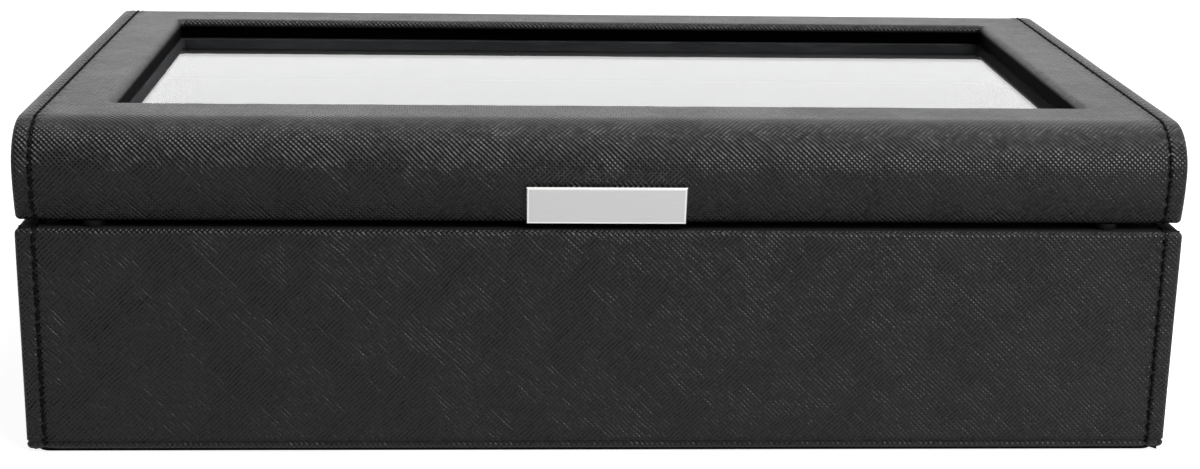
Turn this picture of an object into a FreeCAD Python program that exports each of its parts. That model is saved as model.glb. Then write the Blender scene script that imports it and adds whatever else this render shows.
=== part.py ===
import FreeCAD, Part
import math
import os
import re
import Sketcher

# A box for twelve wristwatches: a board carcass covered in leatherette, with a hinged lid and a glass window.
# Millimetres. X runs to the right, Y to the back and Z up. The origin is the middle of the underside.

SIZES = {
    # The whole box, over the leatherette
    "box_width": 340.0,
    "box_depth": 204.0,
    "box_height": 99.4,
    "lid_height": 28.7,
    "lid_gap": 2.0,
    # Boards and sheet goods
    "cover_thickness": 1.0,
    "board_thickness": 9.0,
    "edge_ease": 0.6,
    "floor_thickness": 6.0,
    "seam_inset": 5.3,
    "felt_thickness": 1.2,
    "felt_inset": 2.4,
    "felt_corner": 4.0,
    "liner_thickness": 3.0,
    "upstand_clearance": 0.3,
    "floor_pad_thickness": 1.5,
    # Divider grid
    "columns": 6,
    "divider_thickness": 4.0,
    "divider_height": 40.0,
    "divider_fit": 0.1,
    "lap_clearance": 0.1,
    # Watch cushions
    "cushion_height": 46.0,
    "cushion_side_gap": 1.5,
    "cushion_end_gap": 3.5,
    "cushion_seat_gap": 0.3,
    "cushion_foot_radius": 14.0,
    "cushion_roll": 5.0,
    "cushion_end_draw": 5.0,
    "cushion_shoulder_draw": 0.9,
    # Lid
    "lid_setback": 0.5,
    "lid_front_height": 14.7,
    "lid_undercut": 2.0,
    "side_frame": 24.0,
    "end_frame": 31.5,
    "window_corner": 1.5,
    "reveal_radius": 3.0,
    "glass_recess": 6.4,
    "glass_thickness": 3.0,
    "glass_overlap": 6.0,
    "glass_fit": 0.2,
    "retainer_thickness": 4.0,
    "retainer_fit": 0.1,
    "lid_liner_thickness": 2.0,
    # Front plate
    "plate_width": 46.7,
    "plate_height": 11.6,
    "plate_thickness": 1.0,
    "plate_ease": 0.25,
    "plate_drop": 0.25,
    "plate_seat": 0.05,
    "stud_radius": 0.9,
    "stud_length": 3.0,
    "stud_spread": 17.0,
    "stud_fit": 0.1,
    # Rim bumpers
    "bumper_radius": 3.2,
    "bumper_inset": 22.0,
    "bumper_clearance": 0.1,
    # Stop hinges
    "hinge_inset": 65.0,
    "hinge_offset": 2.6,
    "leaf_length": 34.0,
    "leaf_margin": 0.6,
    "leaf_gap": 0.2,
    "knuckle_radius": 2.0,
    "knuckle_length": 12.0,
    "knuckle_gap": 0.2,
    "knuckle_relief": 0.25,
    "pin_radius": 1.0,
    "pin_clearance": 0.05,
    "pin_head_radius": 1.5,
    "pin_head_length": 0.8,
    "lid_travel": 100.0,
    "stop_length": 4.6,
    "stop_clearance": 0.1,
    # Hinge screws
    "screw_length": 8.0,
    "screw_radius": 1.1,
    "screw_head_radius": 2.0,
    "screw_tip": 1.6,
    "screw_spread": 11.0,
    "screw_fit": 0.1,
    "screw_slot_width": 0.5,
    "screw_slot_depth": 0.45,
    "screw_slot_length": 2.4,
}

# Places that follow from the sizes
PLACES = {
    "half_width": "box_width / 2",
    "half_depth": "box_depth / 2",
    "base_height": "box_height - lid_height - lid_gap",
    "cover_radius": "edge_ease + cover_thickness",
    "seam_x": "half_width - seam_inset",
    # Base, from the outside in and from the bottom up
    "board_x": "half_width - cover_thickness",
    "board_y": "half_depth - cover_thickness",
    "wall_x": "board_x - board_thickness",
    "wall_y": "board_y - board_thickness",
    "tray_x": "wall_x - liner_thickness",
    "tray_y": "wall_y - liner_thickness",
    "board_bottom": "felt_thickness + cover_thickness",
    "board_top": "base_height - cover_thickness",
    "floor_top": "felt_thickness + floor_thickness",
    "tray_floor": "floor_top + floor_pad_thickness",
    # Divider grid and its cells
    "divider_top": "tray_floor + divider_height",
    "lap_level": "tray_floor + divider_height / 2",
    "half_divider": "divider_thickness / 2",
    "cell_x": "(2 * tray_x - (columns - 1) * divider_thickness) / columns",
    "cell_y": "tray_y - half_divider",
    "pitch_x": "cell_x + divider_thickness",
    "row_y": "(tray_y + half_divider) / 2",
    # Cushions
    "cushion_half_width": "cell_x / 2 - cushion_side_gap",
    "cushion_half_length": "cell_y / 2 - cushion_end_gap",
    "cushion_floor": "tray_floor + cushion_seat_gap",
    # Lid
    "lid_bottom": "base_height + lid_gap",
    "lid_front": "half_depth - lid_setback",
    "lid_shoulder": "lid_bottom + lid_front_height",
    "lid_edge_radius": "lid_height - lid_front_height",
    "lip_radius": "((lid_shoulder - lid_bottom)^2 + lid_undercut^2) / (2 * lid_undercut)",
    "lip_centre": "lid_front - lip_radius",
    "rail_bottom": "lid_bottom + cover_thickness",
    "rail_top": "box_height - cover_thickness",
    "rail_front": "lid_front - cover_thickness",
    "rail_radius": "lid_edge_radius - cover_thickness",
    "rail_lip_radius": "lip_radius - cover_thickness",
    "rail_lip": "lip_centre + sqrt(rail_lip_radius^2 - (lid_shoulder - rail_bottom)^2)",
    "rail_wall": "rail_front - board_thickness",
    # Upstand on the base lining, which the closed lid fits over
    "upstand_x": "wall_x - upstand_clearance",
    "upstand_y": "rail_wall - upstand_clearance",
    "upstand_top": "rail_bottom - upstand_clearance",
    # Window and glass
    "window_x": "half_width - side_frame",
    "window_y": "half_depth - end_frame",
    "rail_window_x": "window_x + cover_thickness",
    "rail_window_y": "window_y + cover_thickness",
    "glass_top": "box_height - glass_recess",
    "glass_bottom": "glass_top - glass_thickness",
    "glass_x": "rail_window_x + glass_overlap",
    "glass_y": "rail_window_y + glass_overlap",
    "retainer_bottom": "glass_bottom - retainer_thickness",
    # Front plate, which lies along the lid's lower front
    "plate_middle": "lid_bottom - plate_drop + plate_height / 2",
    "plate_tilt": "asin((lid_shoulder - plate_middle) / lip_radius)",
    "plate_y": "lip_centre + (lip_radius + plate_seat) * cos(plate_tilt)",
    "plate_z": "lid_shoulder - (lip_radius + plate_seat) * sin(plate_tilt)",
    # Hinges
    "hinge_place": "half_width - hinge_inset",
    "hinge_y": "half_depth + hinge_offset",
    "hinge_z": "base_height + lid_gap / 2",
    "leaf_thickness": "(lid_gap - leaf_gap) / 2",
    "leaf_y": "wall_y + leaf_margin",
    "half_leaf": "leaf_length / 2",
    "half_knuckle": "knuckle_length / 2",
    "relief_radius": "knuckle_radius + knuckle_relief",
    "bore_radius": "pin_radius + pin_clearance",
    "stop_y": "leaf_thickness - hinge_offset + stop_clearance",
    "screw_y": "wall_y + board_thickness / 2",
    "screw_bore": "screw_radius + screw_fit",
}

doc = FreeCAD.newDocument("watch_box")
sheet = doc.addObject("Spreadsheet::Sheet", "Sizes")
for row, (alias, size) in enumerate(SIZES.items(), start=1):
    sheet.set(f"A{row}", alias)
    sheet.set(f"B{row}", str(size))
    sheet.setAlias(f"B{row}", alias)
doc.recompute()

pieces = []


def formula(text):
    """Turn a text of size and place names into an expression that reads the sheet."""

    def spell_out(match):
        word = match.group(0)
        if word in PLACES:
            return "(" + formula(PLACES[word]) + ")"
        return f"Sizes.{word}" if word in SIZES else word

    return re.sub(r"[a-z_]+", spell_out, text)


def measure(text):
    """The present value of a text of size and place names."""
    return float(sheet.evalExpression(formula(text)))


def bind(item, **properties):
    """Tie properties of an object to texts of size and place names."""
    for name, text in properties.items():
        item.setExpression(name, formula(text))


def place(item, x="0", y="0", z="0"):
    """Tie an object's place to texts of size and place names."""
    for axis, text in zip("xyz", (x, y, z)):
        item.setExpression(f"Placement.Base.{axis}", formula(text))
    return item


def piece(item, label):
    """Name a finished piece of the box and put it on the list."""
    item.Label = label
    pieces.append(item)
    return item


def block(name, x, y, z):
    """A square-edged block that fills three spans, each a pair of places."""
    item = doc.addObject("Part::Box", name)
    spans = (x, y, z)
    bind(item, **{side: f"({high}) - ({low})" for side, (low, high) in zip(("Length", "Width", "Height"), spans)})
    return place(item, *(low for low, high in spans))


def both(half):
    """The span from minus a place to plus that place."""
    return f"-({half})", half


def rod(name, radius, x, y, z):
    """A round bar along X that fills the span x."""
    item = doc.addObject("Part::Cylinder", name)
    item.Placement.Rotation = FreeCAD.Rotation(FreeCAD.Vector(0, 1, 0), 90)
    bind(item, Radius=radius, Height=f"({x[1]}) - ({x[0]})")
    return place(item, x[0], y, z)


def disc(name, radius, height, x, y, z):
    """A round bar that stands on a point."""
    item = doc.addObject("Part::Cylinder", name)
    bind(item, Radius=radius, Height=height)
    return place(item, x, y, z)


def cone(name, low_radius, high_radius, height, x, y, z):
    """A cone that stands on a point."""
    item = doc.addObject("Part::Cone", name)
    bind(item, Radius1=low_radius, Radius2=high_radius, Height=height)
    return place(item, x, y, z)


def join(name, *items):
    item = doc.addObject("Part::MultiFuse", name)
    item.Shapes = list(items)
    return item


def group(name, *items):
    """Several separate solids, or a copy of one that gets a place of its own."""
    item = doc.addObject("Part::Compound", name)
    item.Links = list(items)
    return item


def cut(name, base, *tools):
    item = doc.addObject("Part::Cut", name)
    item.Base = base
    item.Tool = tools[0] if len(tools) == 1 else join(f"{name}_tools", *tools)
    return item


def overlap(name, first, second):
    item = doc.addObject("Part::Common", name)
    item.Base = first
    item.Tool = second
    return item


def mirror(name, source):
    """The same piece on the other side of the box."""
    item = doc.addObject("Part::Mirroring", name)
    item.Source = source
    item.Normal = FreeCAD.Vector(1, 0, 0)
    return item


def outline(body, name, plane, corners, lift="0"):
    """A closed outline on a plane of the body. A corner is (across, up), and one that starts an arc
    has the arc's radius and its centre as well."""
    sketch = body.newObject("Sketcher::SketchObject", name)
    support = next(item for item in body.Origin.OriginFeatures if item.Role == plane)
    sketch.AttachmentSupport = [(support, "")]
    sketch.MapMode = "FlatFace"
    sketch.setExpression("AttachmentOffset.Base.z", formula(lift))
    points = [FreeCAD.Vector(measure(corner[0]), measure(corner[1]), 0) for corner in corners]
    ends = []
    for index, corner in enumerate(corners):
        start = points[index]
        finish = points[(index + 1) % len(points)]
        if len(corner) == 2:
            line = sketch.addGeometry(Part.LineSegment(start, finish))
            ends.append((line, 1, 2))
            continue
        radius = corner[2]
        centre = FreeCAD.Vector(measure(corner[3]), measure(corner[4]), 0)
        turns_left = (start - centre).cross(finish - centre).z > 0
        first, last = (start, finish) if turns_left else (finish, start)
        angles = [math.atan2(point.y - centre.y, point.x - centre.x) for point in (first, last)]
        circle = Part.Circle(centre, FreeCAD.Vector(0, 0, 1), measure(radius))
        arc = sketch.addGeometry(Part.ArcOfCircle(circle, *angles))
        size = sketch.addConstraint(Sketcher.Constraint("Radius", arc, measure(radius)))
        sketch.setExpression(f"Constraints[{size}]", formula(radius))
        ends.append((arc, 1, 2) if turns_left else (arc, 2, 1))
    for index, (curve, start, finish) in enumerate(ends):
        following, following_start, _ = ends[(index + 1) % len(ends)]
        sketch.addConstraint(Sketcher.Constraint("Coincident", curve, finish, following, following_start))
        for kind, text in zip(("DistanceX", "DistanceY"), corners[index]):
            size = sketch.addConstraint(Sketcher.Constraint(kind, curve, start, measure(text)))
            sketch.setExpression(f"Constraints[{size}]", formula(text))
    return sketch


def rectangle(half_x, half_y):
    """The corners of a rectangle about the middle."""
    return [(f"-({half_x})", f"-({half_y})"), (half_x, f"-({half_y})"), (half_x, half_y), (f"-({half_x})", half_y)]


def rounded_rectangle(half_x, half_y, radius):
    """The corners of a rectangle about the middle, with rounded corners."""
    inner_x = f"({half_x}) - ({radius})"
    inner_y = f"({half_y}) - ({radius})"
    corners = []
    for across, up in ((1, -1), (1, 1), (-1, 1), (-1, -1)):
        centre = (f"{across} * ({inner_x})", f"{up} * ({inner_y})")
        side = (f"{across} * ({half_x})", centre[1])
        end = (centre[0], f"{up} * ({half_y})")
        first, last = (end, side) if across * up < 0 else (side, end)
        corners += [(*first, radius, *centre), last]
    return corners


def pad(body, name, sketch, length):
    item = body.newObject("PartDesign::Pad", name)
    item.Profile = sketch
    bind(item, Length=length)
    return item


def pocket(body, name, sketch, depth):
    """Cut an outline down into the body."""
    doc.recompute()
    before = body.Shape.Volume
    item = body.newObject("PartDesign::Pocket", name)
    item.Profile = sketch
    bind(item, Length=depth)
    doc.recompute()
    if not body.Shape.Volume < before:
        raise RuntimeError(f"{name} cuts nothing")
    return item


def soften(body, name, radius, chosen):
    """Round the edges of the body that pass a test on their bounding box."""
    doc.recompute()
    base = body.Tip
    edges = [f"Edge{index}" for index, edge in enumerate(base.Shape.Edges, start=1) if chosen(edge.BoundBox)]
    item = body.newObject("PartDesign::Fillet", name)
    item.Base = (base, edges)
    bind(item, Radius=radius)
    return item


def near(value, text):
    return math.isclose(value, measure(text), abs_tol=1e-4)


# Base carcass: four walls and a floor, cut from one block with eased edges

def base_block(name, half_x, half_y, bottom, top, radius):
    """A block the size of the base with all its edges eased."""
    body = doc.addObject("PartDesign::Body", name)
    sketch = outline(body, f"{name}_outline", "XY_Plane", rectangle(half_x, half_y), lift=bottom)
    pad(body, f"{name}_pad", sketch, f"({top}) - ({bottom})")
    soften(body, f"{name}_edges", radius, lambda box: True)
    return body


carcass = base_block("carcass", "board_x", "board_y", "board_bottom", "board_top", "edge_ease")
wall_height = ("board_bottom", "board_top")
front_wall = block("front_wall", both("board_x"), ("-board_y", "-wall_y"), wall_height)
back_wall = block("back_wall", both("board_x"), ("wall_y", "board_y"), wall_height)
left_wall = block("left_wall", ("-board_x", "-wall_x"), both("wall_y"), wall_height)
right_wall = block("right_wall", ("wall_x", "board_x"), both("wall_y"), wall_height)
back_board = overlap("back_board", carcass, back_wall)
piece(overlap("front_board", carcass, front_wall), "base_front_board")
piece(overlap("left_board", carcass, left_wall), "base_left_board")
piece(overlap("right_board", carcass, right_wall), "base_right_board")
piece(block("floor", both("wall_x"), both("wall_y"), ("felt_thickness", "floor_top")), "base_floor_board")

# Base covers: one skin over the walls, turned in over the rim and under the floor, and parted at the seams

base_skin = base_block("base_skin", "half_width", "half_depth", "felt_thickness", "base_height", "cover_radius")
height = ("0", "lid_bottom")
inside = block("inside", both("wall_x"), both("wall_y"), height)
base_shell = cut("base_shell", base_skin, carcass, inside)
front_part = block("front_part", both("seam_x"), ("-half_depth", "-wall_y"), height)
back_part = block("back_part", both("seam_x"), ("wall_y", "half_depth"), height)
left_part = join(
    "left_part",
    block("left_seam_part", ("-half_width", "-seam_x"), both("half_depth"), height),
    block("left_wall_part", ("-half_width", "-wall_x"), both("wall_y"), height),
)
base_left_cover = overlap("left_cover", base_shell, left_part)
base_back_cover = overlap("back_cover", base_shell, back_part)
piece(overlap("front_cover", base_shell, front_part), "base_front_cover")
piece(base_left_cover, "base_left_cover")
piece(mirror("right_cover", base_left_cover), "base_right_cover")

# Underside: a felt sheet glued over the turned-in covers, the face that the box stands on

felt = doc.addObject("PartDesign::Body", "felt")
felt_corners = rounded_rectangle("half_width - felt_inset", "half_depth - felt_inset", "felt_corner")
pad(felt, "felt_pad", outline(felt, "felt_outline", "XY_Plane", felt_corners), "felt_thickness")
piece(felt, "underside_felt")

# Base lining: cloth-covered panels on the walls, and a pad on the floor. Each panel rises past the rim as an
# upstand that the closed lid fits over, so that dust and light stay out.

liner_height = ("floor_top", "board_top")
upstand_height = ("board_top", "upstand_top")
front_panel = block("front_panel", both("wall_x"), ("-wall_y", "-tray_y"), liner_height)
front_upstand = block("front_upstand", both("upstand_x"), ("-upstand_y", "-tray_y"), upstand_height)
piece(join("front_lining", front_panel, front_upstand), "base_front_liner")
back_panel = block("back_panel", both("wall_x"), ("tray_y", "wall_y"), liner_height)
back_upstand = block("back_upstand", both("upstand_x"), ("tray_y", "upstand_y"), upstand_height)
piece(join("back_lining", back_panel, back_upstand), "base_back_liner")
left_panel = block("left_panel", ("-wall_x", "-tray_x"), both("tray_y"), liner_height)
left_upstand = block("left_upstand", ("-upstand_x", "-tray_x"), both("tray_y"), upstand_height)
piece(join("left_lining", left_panel, left_upstand), "base_left_liner")
right_panel = block("right_panel", ("tray_x", "wall_x"), both("tray_y"), liner_height)
right_upstand = block("right_upstand", ("tray_x", "upstand_x"), both("tray_y"), upstand_height)
piece(join("right_lining", right_panel, right_upstand), "base_right_liner")
piece(block("pad_panel", both("tray_x"), both("tray_y"), ("floor_top", "tray_floor")), "base_floor_pad")

# Divider grid: the long divider is notched from the top and the cross dividers from below

columns = int(SIZES["columns"])
crossings = [f"{index - columns / 2} * pitch_x" for index in range(1, columns)]
divider_span = ("tray_floor", "divider_top")
long_plate = block("long_plate", both("tray_x - divider_fit"), both("half_divider"), divider_span)
lap_half = "half_divider + lap_clearance"
notches = []
for number, crossing in enumerate(crossings, start=1):
    notch_span = (f"{crossing} - ({lap_half})", f"{crossing} + {lap_half}")
    notches.append(block(f"notch_{number}", notch_span, both("divider_thickness"), ("lap_level", "lid_bottom")))
piece(cut("long_grid", long_plate, *notches), "long_divider")
for number, crossing in enumerate(crossings, start=1):
    plate_span = (f"{crossing} - half_divider", f"{crossing} + half_divider")
    plate = block(f"cross_plate_{number}", plate_span, both("tray_y - divider_fit"), divider_span)
    notch = block(f"cross_notch_{number}", plate_span, both(lap_half), ("floor_top", "lap_level"))
    piece(cut(f"cross_grid_{number}", plate, notch), f"cross_divider_{number}")

# Watch cushions: one crowned form with drawn-in ends, set in each of the twelve cells


def cushion_section(draw):
    """The cushion's end view, smaller all round by a drawn-in amount and flat where it rests."""
    half = f"(cushion_half_length - {draw})"
    foot = f"({half} - cushion_foot_radius)"
    rise = f"(cushion_height - {draw} - cushion_foot_radius)"
    crown = f"(({half}^2 + {rise}^2) / (2 * {rise}))"
    flank = "cushion_floor + cushion_foot_radius"
    top_centre = f"cushion_floor + cushion_height - {draw} - {crown}"
    return [
        (f"-{foot}", "cushion_floor"),
        (foot, "cushion_floor", "cushion_foot_radius", foot, flank),
        (half, flank, crown, "0", top_centre),
        (f"-{half}", flank, "cushion_foot_radius", f"-{foot}", flank),
    ]


cushion = doc.addObject("PartDesign::Body", "cushion")
stations = [
    ("-cushion_half_width", "cushion_end_draw"),
    ("cushion_roll - cushion_half_width", "cushion_shoulder_draw"),
    ("0", "0"),
    ("cushion_half_width - cushion_roll", "cushion_shoulder_draw"),
    ("cushion_half_width", "cushion_end_draw"),
]
sections = [
    outline(cushion, f"cushion_section_{number}", "YZ_Plane", cushion_section(draw), lift=station)
    for number, (station, draw) in enumerate(stations, start=1)
]
doc.recompute()
stuffing = cushion.newObject("PartDesign::AdditiveLoft", "stuffing")
stuffing.Profile = sections[0]
stuffing.Sections = sections[1:]
for row_name, row_side in (("front", "-"), ("back", "")):
    for column in range(columns):
        copy = group(f"cushion_copy_{row_name}_{column + 1}", cushion)
        place(copy, x=f"{column - (columns - 1) / 2} * pitch_x", y=f"{row_side}row_y")
        piece(copy, f"cushion_{row_name}_{column + 1}")

# Lid forms: the outside of the covers, and the rails under them one cover thickness in


def lid_block(name, half_x, bottom, top, front, lip, lip_radius, edge_radius, ease):
    """The lid's section from end to end, with a rolled front, before its window is cut."""
    body = doc.addObject("PartDesign::Body", name)
    shelf = f"({front}) - ({edge_radius})"
    section = [
        (f"-({lip})", bottom, lip_radius, "-lip_centre", "lid_shoulder"),
        (f"-({front})", "lid_shoulder", edge_radius, f"-({shelf})", "lid_shoulder"),
        (f"-({shelf})", top),
        (shelf, top, edge_radius, shelf, "lid_shoulder"),
        (front, "lid_shoulder"),
        (front, bottom),
    ]
    sketch = outline(body, f"{name}_section", "YZ_Plane", section, lift=f"-({half_x})")
    pad(body, f"{name}_pad", sketch, f"2 * ({half_x})")
    soften(
        body,
        f"{name}_edges",
        ease,
        lambda box: near(abs(box.XMin), half_x) and near(box.XMax, str(box.XMin)) or near(box.ZMax, bottom),
    )
    return body


def lid_window(body, half_x, half_y, corner, top, depth, radius):
    """Cut the window into a lid form and round its upper edge."""
    corners = rounded_rectangle(half_x, half_y, corner)
    sketch = outline(body, f"{body.Name}_window", "XY_Plane", corners, lift=top)
    pocket(body, f"{body.Name}_pocket", sketch, depth)
    soften(
        body,
        f"{body.Name}_reveal",
        radius,
        lambda box: near(box.ZMin, top) and box.YMax < measure(half_y) + 1e-4 and box.YMin > -measure(half_y) - 1e-4,
    )


lid_skin = lid_block(
    "lid_skin", "half_width", "lid_bottom", "box_height", "lid_front", "lid_front - lid_undercut",
    "lip_radius", "lid_edge_radius", "cover_radius",
)
lid_window(lid_skin, "window_x", "window_y", "window_corner", "box_height", "glass_recess", "reveal_radius")
lid_core = lid_block(
    "lid_core", "board_x", "rail_bottom", "rail_top", "rail_front", "rail_lip",
    "rail_lip_radius", "rail_radius", "edge_ease",
)
lid_window(
    lid_core, "rail_window_x", "rail_window_y", "window_corner + cover_thickness", "rail_top",
    "rail_top - glass_top", "reveal_radius - cover_thickness",
)

# Lid rails: the front and back run the whole width, and the ends fit between them

front_upright = block(
    "front_upright", both("board_x"), ("-half_depth", "-rail_wall"), ("lid_bottom", "box_height")
)
front_ledge = block(
    "front_ledge", both("board_x"), ("-rail_wall", "-rail_window_y"), ("glass_top", "box_height")
)
back_upright = block("back_upright", both("board_x"), ("rail_wall", "half_depth"), ("lid_bottom", "box_height"))
back_ledge = block("back_ledge", both("board_x"), ("rail_window_y", "rail_wall"), ("glass_top", "box_height"))
left_upright = block("left_upright", ("-board_x", "-wall_x"), both("rail_wall"), ("lid_bottom", "glass_top"))
left_ledge = block(
    "left_ledge", ("-board_x", "-window_x"), both("rail_window_y"), ("glass_top", "box_height")
)
front_rail = overlap("front_rail", lid_core, join("front_l", front_upright, front_ledge))
back_rail = overlap("back_rail", lid_core, join("back_l", back_upright, back_ledge))
left_rail = overlap("left_rail", lid_core, join("left_l", left_upright, left_ledge))
piece(left_rail, "lid_left_rail")
piece(mirror("right_rail", left_rail), "lid_right_rail")

# Lid covers: one skin over the rails, turned in under them and down into the window, and parted at the seams

lid_inside = block("lid_inside", both("wall_x"), both("rail_wall"), ("base_height", "glass_top"))
lid_shell = cut("lid_shell", lid_skin, lid_core, lid_inside)
lid_left_part = join(
    "lid_left_part",
    block("lid_seam_part", ("-half_width", "-seam_x"), both("half_depth"), ("base_height", "box_height")),
    block("lid_rail_part", ("-half_width", "-wall_x"), both("rail_wall"), ("base_height", "rail_bottom")),
)
main_cover = cut("main_cover", lid_shell, lid_left_part, mirror("lid_right_part", lid_left_part))
lid_left_cover = overlap("lid_end_cover", lid_shell, lid_left_part)
piece(lid_left_cover, "lid_left_cover")
piece(mirror("lid_other_end_cover", lid_left_cover), "lid_right_cover")

# Window: the glass lies under the rails, in the rebate of a retaining frame

piece(block("pane", both("glass_x"), both("glass_y"), ("glass_bottom", "glass_top")), "window_glass")
retainer_board = block(
    "retainer_board", both("wall_x - retainer_fit"), both("rail_wall - retainer_fit"),
    ("retainer_bottom", "glass_top"),
)
rebate = block(
    "rebate", both("glass_x + glass_fit"), both("glass_y + glass_fit"), ("glass_bottom", "box_height")
)
sight = block("sight", both("window_x"), both("window_y"), ("lid_bottom", "box_height"))
piece(cut("retainer", retainer_board, rebate, sight), "glass_retainer")

# Lid lining: cloth-covered panels on the rails, below the retaining frame

lid_liner_x = "wall_x - lid_liner_thickness"
lid_liner_y = "rail_wall - lid_liner_thickness"
lid_liner_span = ("rail_bottom", "retainer_bottom")
piece(block("lid_front_panel", both("wall_x"), ("-rail_wall", f"-({lid_liner_y})"), lid_liner_span), "lid_front_liner")
piece(block("lid_back_panel", both("wall_x"), (lid_liner_y, "rail_wall"), lid_liner_span), "lid_back_liner")
piece(block("lid_left_panel", ("-wall_x", f"-({lid_liner_x})"), both(lid_liner_y), lid_liner_span), "lid_left_liner")
piece(block("lid_right_panel", (lid_liner_x, "wall_x"), both(lid_liner_y), lid_liner_span), "lid_right_liner")

# Front plate: a flat metal plate laid along the lid's lower front, with two studs into the rail

plate = doc.addObject("PartDesign::Body", "plate")
face = outline(plate, "plate_face", "XZ_Plane", rectangle("plate_width / 2", "plate_height / 2"))
pad(plate, "plate_pad", face, "plate_thickness")
soften(plate, "plate_edges", "plate_ease", lambda box: near(box.YMax, "-plate_thickness"))
plate.Placement.Rotation = FreeCAD.Rotation(FreeCAD.Vector(1, 0, 0), 1)
bind(plate, **{"Placement.Rotation.Angle": "plate_tilt"})
place(plate, y="-plate_y", z="plate_z")


def stud(name, radius, length, x):
    """A round bar from the plate's back into the lid."""
    item = disc(name, radius, length, x, "-plate_y", "plate_z")
    item.Placement.Rotation = FreeCAD.Rotation(FreeCAD.Vector(-1, 0, 0), 1)
    bind(item, **{"Placement.Rotation.Angle": "90 - plate_tilt / 1 deg"})
    return item


stud_places = both("stud_spread")
studs = [stud(f"stud_{n}", "stud_radius", "stud_length", x) for n, x in enumerate(stud_places)]
stud_holes = [
    stud(f"stud_hole_{n}", "stud_radius + stud_fit", "stud_length + stud_fit", x) for n, x in enumerate(stud_places)
]
piece(join("plate_with_studs", plate, *studs), "front_plate")
piece(cut("studded_front_rail", front_rail, *stud_holes), "lid_front_rail")

# Rim bumpers: two rubber dots on the front rim, which the lid comes down on

bumper_y = "-(wall_y + board_thickness / 2)"
bumper_height = "lid_gap - bumper_clearance"
bumpers = [
    disc(f"bumper_{n}", "bumper_radius", bumper_height, x, bumper_y, "base_height")
    for n, x in enumerate(both("half_width - bumper_inset"))
]
piece(group("bumpers", *bumpers), "rim_bumpers")

# Stop hinges: the leaves lie in the gap, the barrel stands behind, and a tail on the lid leaf meets the base
# leaf's back plate when the lid is fully open. The right hinge is made and the left is its mirror image.

barrel = ("hinge_y", "hinge_z")
leaf_span = ("hinge_place - half_leaf", "hinge_place + half_leaf")
knuckle_span = ("hinge_place - half_knuckle", "hinge_place + half_knuckle")
low_span = (leaf_span[0], f"{knuckle_span[0]} - knuckle_gap")
high_span = (f"{knuckle_span[1]} + knuckle_gap", leaf_span[1])
bore = rod("bore", "bore_radius", leaf_span, *barrel)
screw_places = ["hinge_place - screw_spread", "hinge_place + screw_spread"]

base_sinks = [
    cone(f"base_sink_{n}", "screw_bore", "screw_head_radius + screw_fit", "leaf_thickness", x, "screw_y", "base_height")
    for n, x in enumerate(screw_places)
]
base_leaf = join(
    "base_leaf_blank",
    block("base_flap", leaf_span, ("leaf_y", "hinge_y"), ("base_height", "base_height + leaf_thickness")),
    block(
        "back_plate", leaf_span, ("half_depth", "half_depth + leaf_thickness"),
        ("hinge_z - stop_length", "base_height + leaf_thickness"),
    ),
    rod("low_knuckle", "knuckle_radius", low_span, *barrel),
    rod("high_knuckle", "knuckle_radius", high_span, *barrel),
)
middle_relief = rod("middle_relief", "relief_radius", (low_span[1], high_span[0]), *barrel)
hinge_base_leaf = cut("hinge_base", base_leaf, bore, middle_relief, *base_sinks)
piece(hinge_base_leaf, "hinge_base_leaf_right")
piece(mirror("hinge_base_mirror", hinge_base_leaf), "hinge_base_leaf_left")

lid_sinks = [
    cone(
        f"lid_sink_{n}", "screw_head_radius + screw_fit", "screw_bore", "leaf_thickness",
        x, "screw_y", "lid_bottom - leaf_thickness",
    )
    for n, x in enumerate(screw_places)
]
tail = doc.addObject("Part::Box", "stop_tail")
tail.Placement.Rotation = FreeCAD.Rotation(FreeCAD.Vector(1, 0, 0), 1)
bind(tail, Length="knuckle_length", Width="leaf_thickness", Height="stop_length")
bind(tail, **{"Placement.Rotation.Angle": "lid_travel"})
place(
    tail,
    knuckle_span[0],
    "hinge_y + stop_y * cos(lid_travel) + stop_length * sin(lid_travel)",
    "hinge_z + stop_y * sin(lid_travel) - stop_length * cos(lid_travel)",
)
lid_leaf = join(
    "lid_leaf_blank",
    block("lid_flap", leaf_span, ("leaf_y", "hinge_y"), ("lid_bottom - leaf_thickness", "lid_bottom")),
    rod("middle_knuckle", "knuckle_radius", knuckle_span, *barrel),
    tail,
)
low_relief = rod("low_relief", "relief_radius", (leaf_span[0], knuckle_span[0]), *barrel)
high_relief = rod("high_relief", "relief_radius", (knuckle_span[1], leaf_span[1]), *barrel)
hinge_lid_leaf = cut("hinge_lid", lid_leaf, bore, low_relief, high_relief, *lid_sinks)
piece(hinge_lid_leaf, "hinge_lid_leaf_right")
piece(mirror("hinge_lid_mirror", hinge_lid_leaf), "hinge_lid_leaf_left")

hinge_pin = join(
    "hinge_pin",
    rod("pin_shank", "pin_radius", leaf_span, *barrel),
    rod("pin_low_head", "pin_head_radius", (f"{leaf_span[0]} - pin_head_length", leaf_span[0]), *barrel),
    rod("pin_high_head", "pin_head_radius", (leaf_span[1], f"{leaf_span[1]} + pin_head_length"), *barrel),
)
piece(hinge_pin, "hinge_pin_right")
piece(mirror("hinge_pin_mirror", hinge_pin), "hinge_pin_left")

# Hinge screws: small countersunk screws, four down into the back board and four up into the back rail

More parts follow.
